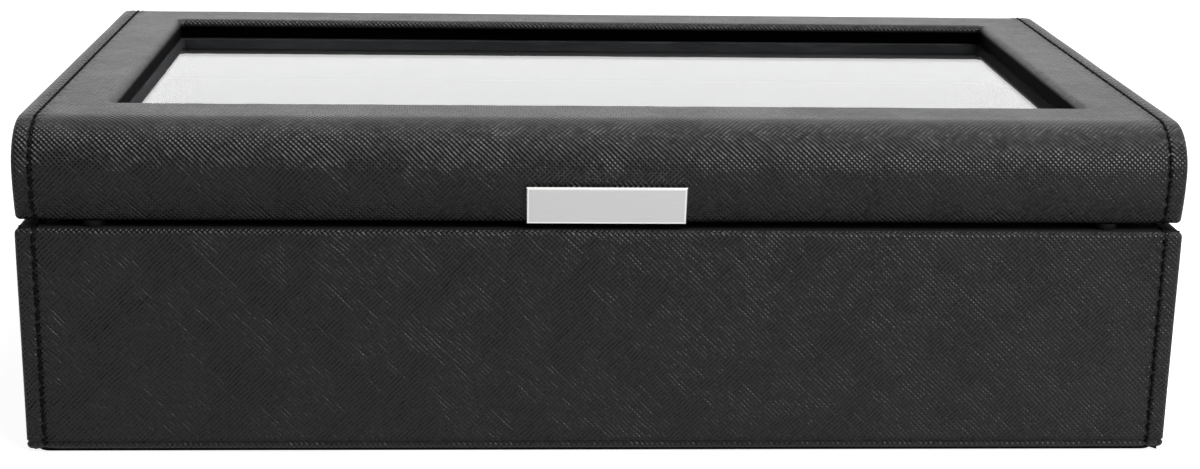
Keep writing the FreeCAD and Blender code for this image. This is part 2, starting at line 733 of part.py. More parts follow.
shank_length = "screw_length - screw_tip"
screw_blank = join(
    "screw_blank",
    cone("screw_head", "screw_radius", "screw_head_radius", "leaf_thickness", "0", "0", "-leaf_thickness"),
    disc("screw_shank", "screw_radius", f"{shank_length} - leaf_thickness", "0", "0", f"-({shank_length})"),
    cone("screw_point", "0", "screw_radius", "screw_tip", "0", "0", "-screw_length"),
)
slot_depth = ("-screw_slot_depth", "screw_slot_depth")
slot_wide = both("screw_slot_width / 2")
slot_long = both("screw_slot_length / 2")
screw = cut(
    "screw",
    screw_blank,
    block("slot_across", slot_long, slot_wide, slot_depth),
    block("slot_along", slot_wide, slot_long, slot_depth),
)
all_screw_places = screw_places + [f"-({x})" for x in screw_places]
base_screws = []
lid_screws = []
base_bores = []
lid_bores = []
for number, x in enumerate(all_screw_places):
    base_screws.append(place(group(f"base_screw_{number}", screw), x, "screw_y", "base_height + leaf_thickness"))
    upward = group(f"lid_screw_{number}", screw)
    upward.Placement.Rotation = FreeCAD.Rotation(FreeCAD.Vector(1, 0, 0), 180)
    lid_screws.append(place(upward, x, "screw_y", "lid_bottom - leaf_thickness"))
    base_bores.append(
        disc(f"base_bore_{number}", "screw_bore", "screw_length", x, "screw_y", "base_height - screw_length")
    )
    lid_bores.append(disc(f"lid_bore_{number}", "screw_bore", "screw_length", x, "screw_y", "lid_bottom"))
piece(group("base_screw_set", *base_screws), "hinge_base_screws")
piece(group("lid_screw_set", *lid_screws), "hinge_lid_screws")

# The pieces that the hinge screws and the plate's studs go into

piece(cut("bored_back_board", back_board, *base_bores), "base_back_board")
piece(cut("bored_back_cover", base_back_cover, *base_bores), "base_back_cover")
piece(cut("bored_back_rail", back_rail, *lid_bores), "lid_back_rail")
piece(cut("bored_main_cover", main_cover, *lid_bores, *stud_holes), "lid_main_cover")

# Check every object and every piece, then write the pieces

doc.recompute()
for item in doc.Objects:
    if "Invalid" in item.State or "Error" in item.State:
        raise RuntimeError(f"{item.Label} failed: {item.State}")
for item in pieces:
    shape = item.Shape
    if shape.isNull() or not shape.isValid() or not shape.Solids:
        raise RuntimeError(f"{item.Label} is not a whole solid")
os.makedirs("parts", exist_ok=True)
for item in pieces:
    item.Shape.exportStep(f"parts/{item.Label}.step")
    print(f"{item.Label}: {len(item.Shape.Solids)} solid, {item.Shape.Volume / 1000:.2f} cubic centimetres")
print(f"{len(pieces)} pieces")
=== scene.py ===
import math
from collections import namedtuple

import bmesh
import bpy
from mathutils import Matrix, Vector, noise
from mathutils.bvhtree import BVHTree


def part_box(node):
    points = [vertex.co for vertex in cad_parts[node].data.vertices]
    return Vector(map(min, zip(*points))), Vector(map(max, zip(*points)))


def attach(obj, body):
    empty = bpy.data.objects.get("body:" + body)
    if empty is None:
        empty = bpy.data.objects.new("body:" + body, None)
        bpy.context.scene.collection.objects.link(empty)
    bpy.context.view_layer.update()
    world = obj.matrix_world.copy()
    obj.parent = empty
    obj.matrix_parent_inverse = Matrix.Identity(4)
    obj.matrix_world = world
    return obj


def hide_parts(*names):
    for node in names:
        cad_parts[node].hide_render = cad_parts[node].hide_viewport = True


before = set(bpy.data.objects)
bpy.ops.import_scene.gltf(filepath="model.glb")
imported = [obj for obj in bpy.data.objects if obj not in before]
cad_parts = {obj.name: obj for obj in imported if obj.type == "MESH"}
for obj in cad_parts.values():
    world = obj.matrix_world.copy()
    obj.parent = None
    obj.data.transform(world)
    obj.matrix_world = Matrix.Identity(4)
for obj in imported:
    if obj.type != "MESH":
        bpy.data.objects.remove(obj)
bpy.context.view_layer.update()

# Carcass of the base: five fibreboard panels, sawn to size, butted and glued into an open tray.
# The leatherette and the lining hide all of it but the sawn edges between them.
mm = 0.001
four_sides = ("front", "back", "left", "right")


def add_node(tree, kind, inputs=None, **settings):
    """A new node, with each input set to a plain value or joined to another node's socket."""
    made = tree.nodes.new(kind)
    for name, value in settings.items():
        setattr(made, name, value)
    for name, value in (inputs or {}).items():
        if isinstance(value, bpy.types.NodeSocket):
            tree.links.new(value, made.inputs[name])
        else:
            made.inputs[name].default_value = value
    return made


def calculate(tree, operation, first, second=0.0, third=0.0):
    """The result of one sum on numbers or sockets."""
    return add_node(tree, "ShaderNodeMath", {0: first, 1: second, 2: third}, operation=operation).outputs[0]


def spread(tree, value, low, high, start=0.0, end=1.0, curve="LINEAR"):
    """A value that runs from low to high as the given one runs from start to end."""
    limits = {"Value": value, "From Min": start, "From Max": end, "To Min": low, "To Max": high}
    return add_node(tree, "ShaderNodeMapRange", limits, interpolation_type=curve).outputs["Result"]


def tint(tree, share, first, second):
    """A colour between two others."""
    ends = {0: share, 6: (*first, 1.0), 7: (*second, 1.0)}
    return add_node(tree, "ShaderNodeMix", ends, data_type="RGBA").outputs[2]


def stretch(tree, where, scale):
    """Coordinates scaled by a different amount each way, for streaks and fibres."""
    return add_node(tree, "ShaderNodeMapping", {"Vector": where, "Scale": scale}).outputs["Vector"]


def cloud(tree, where, scale, detail=2.0, roughness=0.5):
    """Soft noise from 0 to 1, with features about 1 / scale metres across."""
    settings = {"Vector": where, "Scale": scale, "Detail": detail, "Roughness": roughness}
    return add_node(tree, "ShaderNodeTexNoise", settings).outputs["Fac"]


def relief(tree, height, depth, under=None, strength=1.0):
    """A surface normal raised by a height from 0 to 1, over another relief if one is given."""
    settings = {"Height": height, "Distance": depth, "Strength": strength}
    if under is not None:
        settings["Normal"] = under
    return add_node(tree, "ShaderNodeBump", settings).outputs["Normal"]


def new_finish(name, constants, coordinates="Object"):
    """A material, its nodes, its shader with the constant values set, and the coordinates it reads."""
    material = bpy.data.materials.new(name)
    material.use_nodes = True
    tree = material.node_tree
    shader = tree.nodes["Principled BSDF"]
    for socket, value in constants.items():
        shader.inputs[socket].default_value = value
    where = add_node(tree, "ShaderNodeTexCoord").outputs[coordinates]
    return material, tree, shader, where


def join(tree, shader, sockets):
    """Joins varying colours, values and normals to the shader's inputs."""
    for name, value in sockets.items():
        tree.links.new(value, shader.inputs[name])


def dress(names, material):
    """Gives CAD nodes a finish."""
    for name in names:
        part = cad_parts[name]
        if not part.material_slots:
            part.data.materials.append(material)
        for slot in part.material_slots:
            slot.material = material


fibreboard, tree, shader, where = new_finish("fibreboard", {"Roughness": 0.85})
fibres = cloud(tree, stretch(tree, where, (900, 900, 2200)), 1.0, 3.0, 0.65)
chips = cloud(tree, where, 160, 2.0)
board_tone = calculate(tree, "MULTIPLY", fibres, spread(tree, chips, 0.8, 1.3))
join(tree, shader, {
    "Base Color": tint(tree, board_tone, (0.20, 0.13, 0.075), (0.46, 0.33, 0.21)),
    "Normal": relief(tree, fibres, 0.15 * mm),
})
dress([f"base_{side}_board" for side in (*four_sides, "floor")], fibreboard)

# Base covers: four pieces of black leatherette with a pressed cross grain, glued round the boards.
# The end pieces fold round the corners, and are sewn to the front and back pieces at the seams.
# All four turn in over the rim and under the floor; where they turn in at the gap the hide is painted near
# black as painted shade, and made fully rough.
front_low, front_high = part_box("base_front_cover")
left_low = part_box("base_left_cover")[0]
half_width = -left_low.x
half_depth = -front_low.y
seam_x = front_high.x
seam_inset = half_width - seam_x
base_bottom = front_low.z
base_top = front_high.z
tuck = front_high.y - front_low.y
cover_thickness = 1.0 * mm
edge_round = 1.6 * mm
stitch_pitch = 3.85 * mm
row_spacing = stitch_pitch / 4
seam_groove = 0.32 * mm
seam_groove_width = 0.7 * mm
pucker = 0.16 * mm
pucker_place = 1.5 * mm
hide_ripple = 0.07 * mm
ripple_length = 26 * mm
seam_steps = [d * mm for d in (0, 0.25, 0.5, 0.75, 1.0, 1.35, 1.8, 2.4, 3.0, 3.7)]
post_gap = 5 * mm
corner_steps = 6
end_steps = 16
tuck_step = 0.05 * mm
same_place = 0.01 * mm
merge_gap = 0.004 * mm
Spot = namedtuple("Spot", "out up side_out side_up along")
Post = namedtuple("Post", "x y out_x out_y reach around seam corner")


def trace(steps, spacing, start=0.0):
    """Spots along straight lines (from, to) and arcs (centre, radius, first and last degree).

    Each spot has its place, its outward side and its distance along the path."""
    spots = []
    travelled = start
    for step in steps:
        if len(step) == 2:
            (out, up), (last_out, last_up) = step
            run, climb = last_out - out, last_up - up
            length = math.hypot(run, climb)
            count = max(1, round(length / spacing))
            shares = [n / count for n in range(count + 1)]
            side = (-climb / length, run / length)
            made = [(out + run * t, up + climb * t, *side, travelled + length * t) for t in shares]
        else:
            (out, up), radius, first, last = step
            length = radius * math.radians(abs(last - first))
            count = max(5, round(length / spacing))
            shares = [n / count for n in range(count + 1)]
            turns = [math.radians(first + (last - first) * t) for t in shares]
            sides = [(math.cos(turn), math.sin(turn)) for turn in turns]
            made = [
                (out + radius * a, up + radius * b, a, b, travelled + length * t)
                for (a, b), t in zip(sides, shares)
            ]
        spots += [Spot(*values) for values in (made[1:] if spots else made)]
        travelled += length
    return spots


def spaced(half, gap):
    """Places from -half to half, close together beside the seams at both ends."""
    inner = half - seam_steps[-1]
    count = round(2 * inner / gap)
    middle = [-inner + 2 * inner * n / count for n in range(1, count)]
    return [step - half for step in seam_steps] + middle + [half - step for step in reversed(seam_steps)]


def dip(seam_distance, along, place):
    """How far the hide lies under its even surface: the drawn seam, the puckers and slight ripples."""
    drawn = seam_groove * math.exp(-((seam_distance / seam_groove_width) ** 2))
    beside = math.exp(-(((seam_distance - pucker_place) / pucker_place) ** 2))
    gathered = pucker * beside * math.cos(math.tau * along / stitch_pitch)
    ripple = hide_ripple * noise.noise(Vector(place) / ripple_length)
    return drawn + gathered + ripple


def add_object(name, mesh):
    """A new object in the scene, from a bmesh that is used up."""
    data = bpy.data.meshes.new(name)
    mesh.to_mesh(data)
    mesh.free()
    made = bpy.data.objects.new(name, data)
    bpy.context.scene.collection.objects.link(made)
    return made


def make_piece(name, mesh, material, body, nodes):
    """A finished object from a bmesh: its finish, and the CAD nodes that it stands for."""
    made = add_object(name, mesh)
    made.data.materials.append(material)
    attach(made, body)
    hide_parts(*nodes)
    return made


def lay_grid(mesh, grid):
    """Faces over rows of (place, pattern place) pairs."""
    pattern = mesh.loops.layers.uv.verify()
    rows = [[(mesh.verts.new(place), uv) for place, uv in row] for row in grid]
    for lower, upper in zip(rows, rows[1:]):
        for n in range(len(lower) - 1):
            ring = (lower[n], lower[n + 1], upper[n + 1], upper[n])
            face = mesh.faces.new([vert for vert, uv in ring])
            face.smooth = True
            for loop, (vert, uv) in zip(face.loops, ring):
                loop[pattern].uv = uv


def face_outwards(mesh, middle):
    """Merges the grids, and turns the faces away from the middle."""
    bmesh.ops.remove_doubles(mesh, verts=mesh.verts, dist=merge_gap)
    bmesh.ops.recalc_face_normals(mesh, faces=mesh.faces)
    facing = sum(f.normal.dot(f.calc_center_median() - middle) * f.calc_area() for f in mesh.faces)
    if facing < 0:
        bmesh.ops.reverse_faces(mesh, faces=mesh.faces)


def make_hide(name, mesh, body):
    """A piece of leatherette for its CAD cover, thickened inwards from the side that shows."""
    hide = make_piece(name + "_hide", mesh, leatherette, body, [name + "_cover"])
    solid = hide.modifiers.new("Thickness", "SOLIDIFY")
    solid.thickness = cover_thickness
    solid.offset = -1


def make_group(name, inputs, outputs):
    """A shared shader effect: its nodes, what it is given and where its results go."""
    group = bpy.data.node_groups.new(name, "ShaderNodeTree")
    for socket, kind in inputs.items():
        group.interface.new_socket(socket, in_out="INPUT", socket_type=kind)
    for socket, kind in outputs.items():
        group.interface.new_socket(socket, in_out="OUTPUT", socket_type=kind)
    return group, group.nodes.new("NodeGroupInput").outputs, group.nodes.new("NodeGroupOutput")


def cross_grain_group():
    """Two families of pressed lines at 45 degrees that cross, each line of uneven depth."""
    group, given, result = make_group(
        "Cross grain",
        {"Where": "NodeSocketVector", "Pitch": "NodeSocketFloat", "Wander": "NodeSocketFloat"},
        {"Groove": "NodeSocketFloat"},
    )
    wander_scale = 110.0
    lead_scale = 60.0
    stroke_step, stroke_stretch = 5.37, 0.42
    long_step, long_stretch = 7.31, 0.07
    long_key = 11.0
    press = 0.62
    wander = add_node(group, "ShaderNodeTexNoise", {
        "Vector": given["Where"],
        "Scale": wander_scale,
        "Detail": 1.0,
    })
    drift = add_node(group, "ShaderNodeSeparateColor", {"Color": wander.outputs["Color"]}).outputs
    axes = add_node(group, "ShaderNodeSeparateXYZ", {"Vector": given["Where"]}).outputs
    diagonal_pitch = calculate(group, "MULTIPLY", given["Pitch"], math.sqrt(2))
    rising = calculate(group, "DIVIDE", calculate(group, "ADD", axes["X"], axes["Y"]), diagonal_pitch)
    falling = calculate(group, "DIVIDE", calculate(group, "SUBTRACT", axes["X"], axes["Y"]), diagonal_pitch)
    lead = cloud(group, given["Where"], lead_scale, 2.0)
    ways = (
        (rising, falling, "Red", 3.0, spread(group, lead, 0.7, 1.0, 0.42, 0.56)),
        (falling, rising, "Green", 31.0, spread(group, lead, 1.0, 0.7, 0.44, 0.58)),
    )
    families = []
    for across, along, channel, key, share in ways:
        sway = calculate(group, "SUBTRACT", drift[channel], 0.5)
        shift = calculate(group, "MULTIPLY", sway, given["Wander"])
        bent = calculate(group, "ADD", across, shift)
        line = calculate(group, "FLOOR", bent)
        from_middle = calculate(group, "SUBTRACT", calculate(group, "FRACT", bent), 0.5)
        offset = calculate(group, "ABSOLUTE", from_middle)
        spot = add_node(group, "ShaderNodeCombineXYZ", {
            "X": calculate(group, "MULTIPLY", line, stroke_step),
            "Y": calculate(group, "MULTIPLY", along, stroke_stretch),
            "Z": key,
        }).outputs["Vector"]
        stroke = spread(group, cloud(group, spot, 1.0, 1.0), 0.55, 1.0, 0.36, 0.62)
        long_spot = add_node(group, "ShaderNodeCombineXYZ", {
            "X": calculate(group, "MULTIPLY", line, long_step),
            "Y": calculate(group, "MULTIPLY", along, long_stretch),
            "Z": key + long_key,
        }).outputs["Vector"]
        deep = spread(group, cloud(group, long_spot, 1.0, 1.0), 0.0, 0.32, 0.56, 0.70)
        cut = spread(group, offset, 1.0, 0.0, 0.0, 0.5, "SMOOTHSTEP")
        depth = calculate(group, "MULTIPLY_ADD", stroke, share, deep)
        families.append(calculate(group, "MULTIPLY", cut, depth))
    crossed = calculate(group, "MULTIPLY", calculate(group, "ADD", *families), press)
    group.links.new(crossed, result.inputs["Groove"])
    return group


grain_pitch = 1.1 * mm
grain_wander = 0.9
grain_depth = 0.40 * mm
hide_crease_depth = 0.22 * mm
hide_light = (0.009, 0.009, 0.0093)
hide_dark = (0.001, 0.001, 0.001)
glass_overlap = 7.0 * mm
bend_start = 0.8 * mm
bend_end = 2.6 * mm
brink_start = 2.0 * mm
brink_end = 2.6 * mm
gap_start = 0.05 * mm
gap_end = 0.25 * mm

leatherette, tree, shader, pattern = new_finish("leatherette", {
    "IOR": 1.48,
    "Specular IOR Level": 0.38,
}, "UV")
object_place = add_node(tree, "ShaderNodeTexCoord").outputs["Object"]
cross_grain = cross_grain_group()
grain = add_node(tree, "ShaderNodeGroup", node_tree=cross_grain)
tree.links.new(pattern, grain.inputs["Where"])
grain.inputs["Pitch"].default_value = grain_pitch
grain.inputs["Wander"].default_value = grain_wander
groove = grain.outputs["Groove"]
lid_low, lid_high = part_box("lid_main_cover")
glass_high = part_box("window_glass")[1]
window_x = glass_high.x - glass_overlap
window_y = glass_high.y - glass_overlap
places = add_node(tree, "ShaderNodeSeparateXYZ", {"Vector": object_place}).outputs
across, along = (calculate(tree, "ABSOLUTE", places[axis]) for axis in "XY")
in_window = calculate(
    tree, "MULTIPLY",
    spread(tree, across, 1.0, 0.0, window_x + brink_start, window_x + brink_end),
    spread(tree, along, 1.0, 0.0, window_y + brink_start, window_y + brink_end),
)
below_bend = spread(tree, places["Z"], 1.0, 0.0, lid_high.z - bend_end, lid_high.z - bend_start)
turn_down = calculate(tree, "MULTIPLY", in_window, below_bend)
half_gap = (lid_low.z - base_top) / 2
from_gap = calculate(tree, "ABSOLUTE", calculate(tree, "SUBTRACT", places["Z"], base_top + half_gap))
turn_in = spread(tree, from_gap, 1.0, 0.0, half_gap + gap_start, half_gap + gap_end)
# Painted shade mask: the hide in the window's reveal and the hide turned in at the gap between lid and
# base.
painted_shade = calculate(tree, "MAXIMUM", turn_down, turn_in)
flat_hide = calculate(tree, "SUBTRACT", 1.0, painted_shade)
patches = cloud(tree, object_place, 45, 3.0)
creases = cloud(tree, stretch(tree, object_place, (34, 150, 60)), 1.0, 3.0, 0.6)
patch_tone = spread(tree, patches, 0.92, 1.06, 0.3, 0.7)
hide_tone = calculate(tree, "MULTIPLY", groove, patch_tone)
# The grain's own darker grooves, with the painted shade of the turn-ins over them.
grain_and_painted_shade = calculate(tree, "MAXIMUM", hide_tone, painted_shade)
pressed = calculate(tree, "MULTIPLY", groove, flat_hide)
grain_relief = calculate(tree, "SUBTRACT", 1.0, pressed)
satin = spread(tree, calculate(tree, "ADD", groove, patches), 0.26, 0.47, 0.3, 1.5)
# Painted shade: the hide turned down into the window and turned in at the gap is coloured near black and
# made fully rough. A black metal has no plain gloss, so Metallic takes the shine off the hide in the
# window.
join(tree, shader, {
    "Base Color": tint(tree, grain_and_painted_shade, hide_light, hide_dark),
    "Roughness": calculate(tree, "MAXIMUM", satin, painted_shade),
    "Metallic": turn_down,
    "Normal": relief(tree, grain_relief, grain_depth, relief(tree, creases, hide_crease_depth)),
})

foot_crease = base_bottom + 2.3 * mm
crease_reach = 0.55 * mm
crease_sink = 0.5 * mm

base_profile = trace([
    ((-tuck, base_top), (-edge_round, base_top)),
    ((-edge_round, base_top - edge_round), edge_round, 90, 0),
    ((0, base_top - edge_round), (0, foot_crease + crease_reach)),
    ((0, foot_crease + crease_reach), (0, foot_crease)),
    ((0, foot_crease), (0, base_bottom + edge_round)),
    ((-edge_round, base_bottom + edge_round), edge_round, 0, -90),
    ((-edge_round, base_bottom), (-tuck, base_bottom)),
], row_spacing)


def stand(post, out):
    """A place out from a post on the wall line. Past a corner's centre it runs along the mitre."""
    out = max(out, -post.reach)
    if post.corner and out < -edge_round:
        past = -out - edge_round
        return (post.corner[0] - math.copysign(past, post.corner[0]),
                post.corner[1] - math.copysign(past, post.corner[1]))
    return post.x + post.out_x * out, post.y + post.out_y * out


def front_posts(side):
    """Posts along the front (-1) or back (1) piece, from seam to seam."""
    return [
        Post(x, side * half_depth, 0, side, tuck, x, seam_x - abs(x), None)
        for x in spaced(seam_x, post_gap)
    ]


def end_posts(side):
    """Posts from the front seam round the left (-1) or right (1) end to the back seam."""
    centre_x, centre_y = half_width - edge_round, half_depth - edge_round
    quarter = edge_round * math.pi / 2
    turns = [math.radians(90 * n / corner_steps) for n in range(1, corner_steps)]
    walk = []
    for step in seam_steps:
        walk.append(((seam_x + step, half_depth), (0, 1), seam_inset - step, step, None))
    strip = seam_steps[-1]
    for turn in turns:
        out = (math.sin(turn), math.cos(turn))
        place = (centre_x + edge_round * out[0], centre_y + edge_round * out[1])
        far = strip + quarter * turn / (math.pi / 2)
        walk.append((place, out, seam_inset, far, (centre_x, centre_y)))
    run = [centre_y, half_depth - seam_inset, half_depth - tuck + tuck_step, half_depth - tuck]
    run += [run[-1] * (1 - n / end_steps) for n in range(1, end_steps + 1)]
    for y in run:
        inside = y <= half_depth - tuck
        reach = tuck if inside else min(seam_inset, half_depth - y)
        far = strip + quarter + centre_y - y
        walk.append(((half_width, y), (1, 0), reach, far, None))
    length = walk[-1][3]
    posts = []
    for (x, y), (out_x, out_y), reach, far, corner in walk:
        bend = corner and (side * corner[0], -corner[1])
        posts.append(Post(side * x, -y, side * out_x, -out_y, reach, side * (seam_x + far), far, bend))
    for (x, y), (out_x, out_y), reach, far, corner in reversed(walk[:-1]):
        bend = corner and (side * corner[0], corner[1])
        around = side * (seam_x + 2 * length - far)
        posts.append(Post(side * x, y, side * out_x, out_y, reach, around, far, bend))
    return posts


def base_cover(name, posts):
    """One piece of the base's hide: the rim-to-floor profile carried along its posts."""
    mesh = bmesh.new()
    grid = []
    for spot in base_profile:
        row = []
        for post in posts:
            sunk = dip(post.seam, spot.along, (*stand(post, spot.out), spot.up))
            if abs(spot.up - foot_crease) < same_place:
                sunk += crease_sink
            x, y = stand(post, spot.out - sunk * spot.side_out)
            row.append(((x, y, spot.up - sunk * spot.side_up), (post.around, -spot.along)))
        grid.append(row)
    lay_grid(mesh, grid)
    face_outwards(mesh, Vector((0, 0, (base_top + base_bottom) / 2)))
    make_hide(name, mesh, "base")


base_cover("base_front", front_posts(-1))
base_cover("base_back", front_posts(1))
base_cover("base_left", end_posts(-1))
base_cover("base_right", end_posts(1))

# Base stitching: black polyester thread, lock-stitched down the four seams of the base.
# Each stitch lies in the drawn groove, and goes down a needle hole at both ends.
thread_length = 2.5 * mm
thread_radius = 0.46 * mm
hole_radius = 0.38 * mm
thread_sink = 0.16 * mm

thread, tree, shader, where = new_finish("thread", {"Roughness": 0.75, "Specular IOR Level": 0.1})
twist = cloud(tree, stretch(tree, where, (2600, 2600, 1500)), 1.0, 2.0)
join(tree, shader, {
    "Base Color": tint(tree, twist, (0.001, 0.001, 0.001), (0.005, 0.005, 0.005)),
    "Normal": relief(tree, twist, 0.08 * mm),
})


def stitch_nodes():
    """A tree that sets a stitch, with a needle hole at both its ends, at every pitch along a path."""
    nodes = bpy.data.node_groups.new("Stitch line", "GeometryNodeTree")
    nodes.interface.new_socket("Path", in_out="INPUT", socket_type="NodeSocketGeometry")
    for name in ("Pitch", "Thread Length", "Thread Radius", "Hole Radius"):
        nodes.interface.new_socket(name, in_out="INPUT", socket_type="NodeSocketFloat")
    nodes.interface.new_socket("Thread", in_out="INPUT", socket_type="NodeSocketMaterial")
    nodes.interface.new_socket("Stitches", in_out="OUTPUT", socket_type="NodeSocketGeometry")
    given = nodes.nodes.new("NodeGroupInput").outputs
    result = nodes.nodes.new("NodeGroupOutput")

    def ball(size_x, size_y, size_z, shift):
        sphere = add_node(nodes, "GeometryNodeMeshUVSphere", {"Segments": 8, "Rings": 6, "Radius": 1.0})
        scale = add_node(nodes, "ShaderNodeCombineXYZ", {"X": size_x, "Y": size_y, "Z": size_z})
        move = add_node(nodes, "ShaderNodeCombineXYZ", {"X": shift})
        return add_node(nodes, "GeometryNodeTransform", {
            "Geometry": sphere.outputs["Mesh"],
            "Scale": scale.outputs["Vector"],
            "Translation": move.outputs["Vector"],
        }).outputs["Geometry"]

    half_thread = calculate(nodes, "MULTIPLY", given["Thread Length"], 0.5)
    other_end = calculate(nodes, "MULTIPLY", half_thread, -1.0)
    stitch = ball(half_thread, given["Thread Radius"], given["Thread Radius"], 0.0)
    stitch_and_holes = add_node(nodes, "GeometryNodeJoinGeometry")
    nodes.links.new(stitch, stitch_and_holes.inputs[0])
    for end in (half_thread, other_end):
        hole = ball(given["Hole Radius"], given["Hole Radius"], given["Hole Radius"], end)
        nodes.links.new(hole, stitch_and_holes.inputs[0])
    path = add_node(nodes, "GeometryNodeMeshToCurve", {"Mesh": given["Path"]})
    marks = add_node(nodes, "GeometryNodeResampleCurve", {
        "Curve": path.outputs["Curve"],
        "Length": given["Pitch"],
    }, mode="LENGTH")
    heading = add_node(nodes, "FunctionNodeAlignRotationToVector", {
        "Vector": add_node(nodes, "GeometryNodeInputTangent").outputs["Tangent"],
    }, axis="X")
    row = add_node(nodes, "GeometryNodeInstanceOnPoints", {
        "Points": marks.outputs["Curve"],
        "Instance": stitch_and_holes.outputs["Geometry"],
        "Rotation": heading.outputs["Rotation"],
    })
    smooth = add_node(nodes, "GeometryNodeSetShadeSmooth", {
        "Geometry": add_node(nodes, "GeometryNodeRealizeInstances", {
            "Geometry": row.outputs["Instances"],
        }).outputs["Geometry"],
    })
    finished = add_node(nodes, "GeometryNodeSetMaterial", {
        "Geometry": smooth.outputs["Geometry"],
        "Material": given["Thread"],
    })
    nodes.links.new(finished.outputs["Geometry"], result.inputs["Stitches"])
    return nodes


stitch_line = stitch_nodes()


def settle(made):
    """Applies an object's modifiers as they stand, and drops them."""
    evaluated = made.evaluated_get(bpy.context.evaluated_depsgraph_get())
    made.data = bpy.data.meshes.new_from_object(evaluated)
    made.modifiers.clear()


def sew(name, paths, body):
    """A row of stitches along each path of points, as one plain mesh."""
    data = bpy.data.meshes.new(name)
    verts = [point for path in paths for point in path]
    edges = []
    first = 0
    for path in paths:
        edges += [(first + n, first + n + 1) for n in range(len(path) - 1)]
        first += len(path)
    data.from_pydata(verts, edges, [])
    made = bpy.data.objects.new(name, data)
    bpy.context.scene.collection.objects.link(made)
    settings = {
        "Pitch": stitch_pitch,
        "Thread Length": thread_length,
        "Thread Radius": thread_radius,
        "Hole Radius": hole_radius,
        "Thread": thread,
    }
    sewing = made.modifiers.new("Stitches", "NODES")
    sewing.node_group = stitch_line
    for item in stitch_line.interface.items_tree:
        if item.name in settings:
            sewing[item.identifier] = settings[item.name]
    settle(made)
    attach(made, body)


def base_seam(side_x, side_y):
    """The thread's path down one seam of the base, from the rim to the floor."""
    return [
        (side_x * seam_x, side_y * (half_depth + spot.out - thread_sink * spot.side_out),
         spot.up - thread_sink * spot.side_up)
        for spot in base_profile
    ]


sew("base_stitching", [base_seam(x, y) for x in (-1, 1) for y in (-1, 1)], "base")

# Underside: one sheet of pressed black felt, glued over the turned-in edges of the covers.
# The box stands on it.
felt, tree, shader, where = new_finish("felt", {"Roughness": 1.0, "Specular IOR Level": 0.1})
hairs = cloud(tree, stretch(tree, where, (2400, 2400, 2400)), 1.0, 4.0, 0.7)
matted = cloud(tree, where, 220, 3.0)
felt_tone = calculate(tree, "MULTIPLY", hairs, matted)
join(tree, shader, {
    "Base Color": tint(tree, felt_tone, (0.008, 0.008, 0.009), (0.07, 0.07, 0.074)),
    "Normal": relief(tree, hairs, 0.3 * mm, relief(tree, matted, 0.4 * mm)),
})
dress(["underside_felt"], felt)

# Base lining and dividers: card panels wrapped in anthracite micro-suede and pressed into the tray.
# The long divider and the five cross dividers are slotted, and lap half way to make twelve cells.
wrapped_edge = 0.9 * mm


def suede_group():
    """Short brushed nap: fine fibres, with broad lighter and darker strokes where it was brushed."""
    group, given, result = make_group(
        "Suede nap",
        {"Where": "NodeSocketVector", "Brushed": "NodeSocketFloat"},
        {"Tone": "NodeSocketFloat", "Fibres": "NodeSocketFloat"},
    )
    fine = cloud(group, given["Where"], 1900, 4.0, 0.7)
    strokes = cloud(group, stretch(group, given["Where"], (38, 20, 26)), 1.0, 3.0, 0.6)
    lean = calculate(group, "MULTIPLY", calculate(group, "SUBTRACT", strokes, 0.5), given["Brushed"])
    group.links.new(calculate(group, "ADD", fine, lean), result.inputs["Tone"])
    group.links.new(fine, result.inputs["Fibres"])
    return group


suede_nap = suede_group()


def suede_finish(name, dark, light, brushed):
    """A suede cloth of one colour."""
    material, tree, shader, where = new_finish(name, {
        "Roughness": 0.95,
        "Specular IOR Level": 0.15,
        "Sheen Weight": 0.25,
        "Sheen Roughness": 0.45,
        "Sheen Tint": (*light, 1.0),
    })
    nap = add_node(tree, "ShaderNodeGroup", node_tree=suede_nap)
    tree.links.new(where, nap.inputs["Where"])
    nap.inputs["Brushed"].default_value = brushed
    join(tree, shader, {
        "Base Color": tint(tree, spread(tree, nap.outputs["Tone"], 0.0, 1.0, 0.25, 0.8), dark, light),
        "Normal": relief(tree, nap.outputs["Fibres"], 0.22 * mm),
    })
    return material


def wrap_edges(names, width):
    """Rounds the edges of card panels as far as their cloth rounds them."""
    for name in names:
        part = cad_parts[name]
        weld = part.modifiers.new("Closed seams", "WELD")
        weld.merge_threshold = 0.002 * mm
        bevel = part.modifiers.new("Wrapped edges", "BEVEL")
        bevel.width = width
        bevel.segments = 3
        bevel.limit_method = "ANGLE"
        bevel.angle_limit = math.radians(40)


lining_suede = suede_finish("lining_suede", (0.018, 0.018, 0.020), (0.060, 0.060, 0.066), 0.9)
base_liners = [f"base_{side}_liner" for side in four_sides]
dividers = ["long_divider"] + [f"cross_divider_{n}" for n in range(1, 6)]
tray_lining = base_liners + ["base_floor_pad"] + dividers
dress(tray_lining, lining_suede)
wrap_edges(tray_lining, wrapped_edge)

# Watch cushions: twelve pillows of grey micro-suede round a foam core, one to a cell.
# Each is one wrap with a panel sewn in at both ends, and a piped cord over the end seams.
cushion_low, cushion_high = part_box("cushion_front_1")
cushion_size = cushion_high - cushion_low
start_inset = 2.4 * mm
foot_radius = 14 * mm
end_draw = 4.0 * mm
shoulder_draw = 0.9 * mm
roll_length = 5.0 * mm
ring_gap = 5 * mm
voxel = 4.0 * mm
swell_limit = 6.0 * mm
piping_place = 3.6 * mm
piping_radius = 1.0 * mm
piping_sides = 8
piping_points = 96
piping_sunk_share = 0.35
girth_centre_share = 0.47
end_seam_depth = 0.9 * mm
end_seam_width = 1.6 * mm
filling_pressure = 4.0
filling_steps = 20
crease_depth = 0.55 * mm
fold_place = 8 * mm
fold_reach = 9 * mm
fold_length = 30 * mm
fold_width = 7 * mm
slack_length = 22 * mm
slack_share = 0.8
calm_foot = 6 * mm


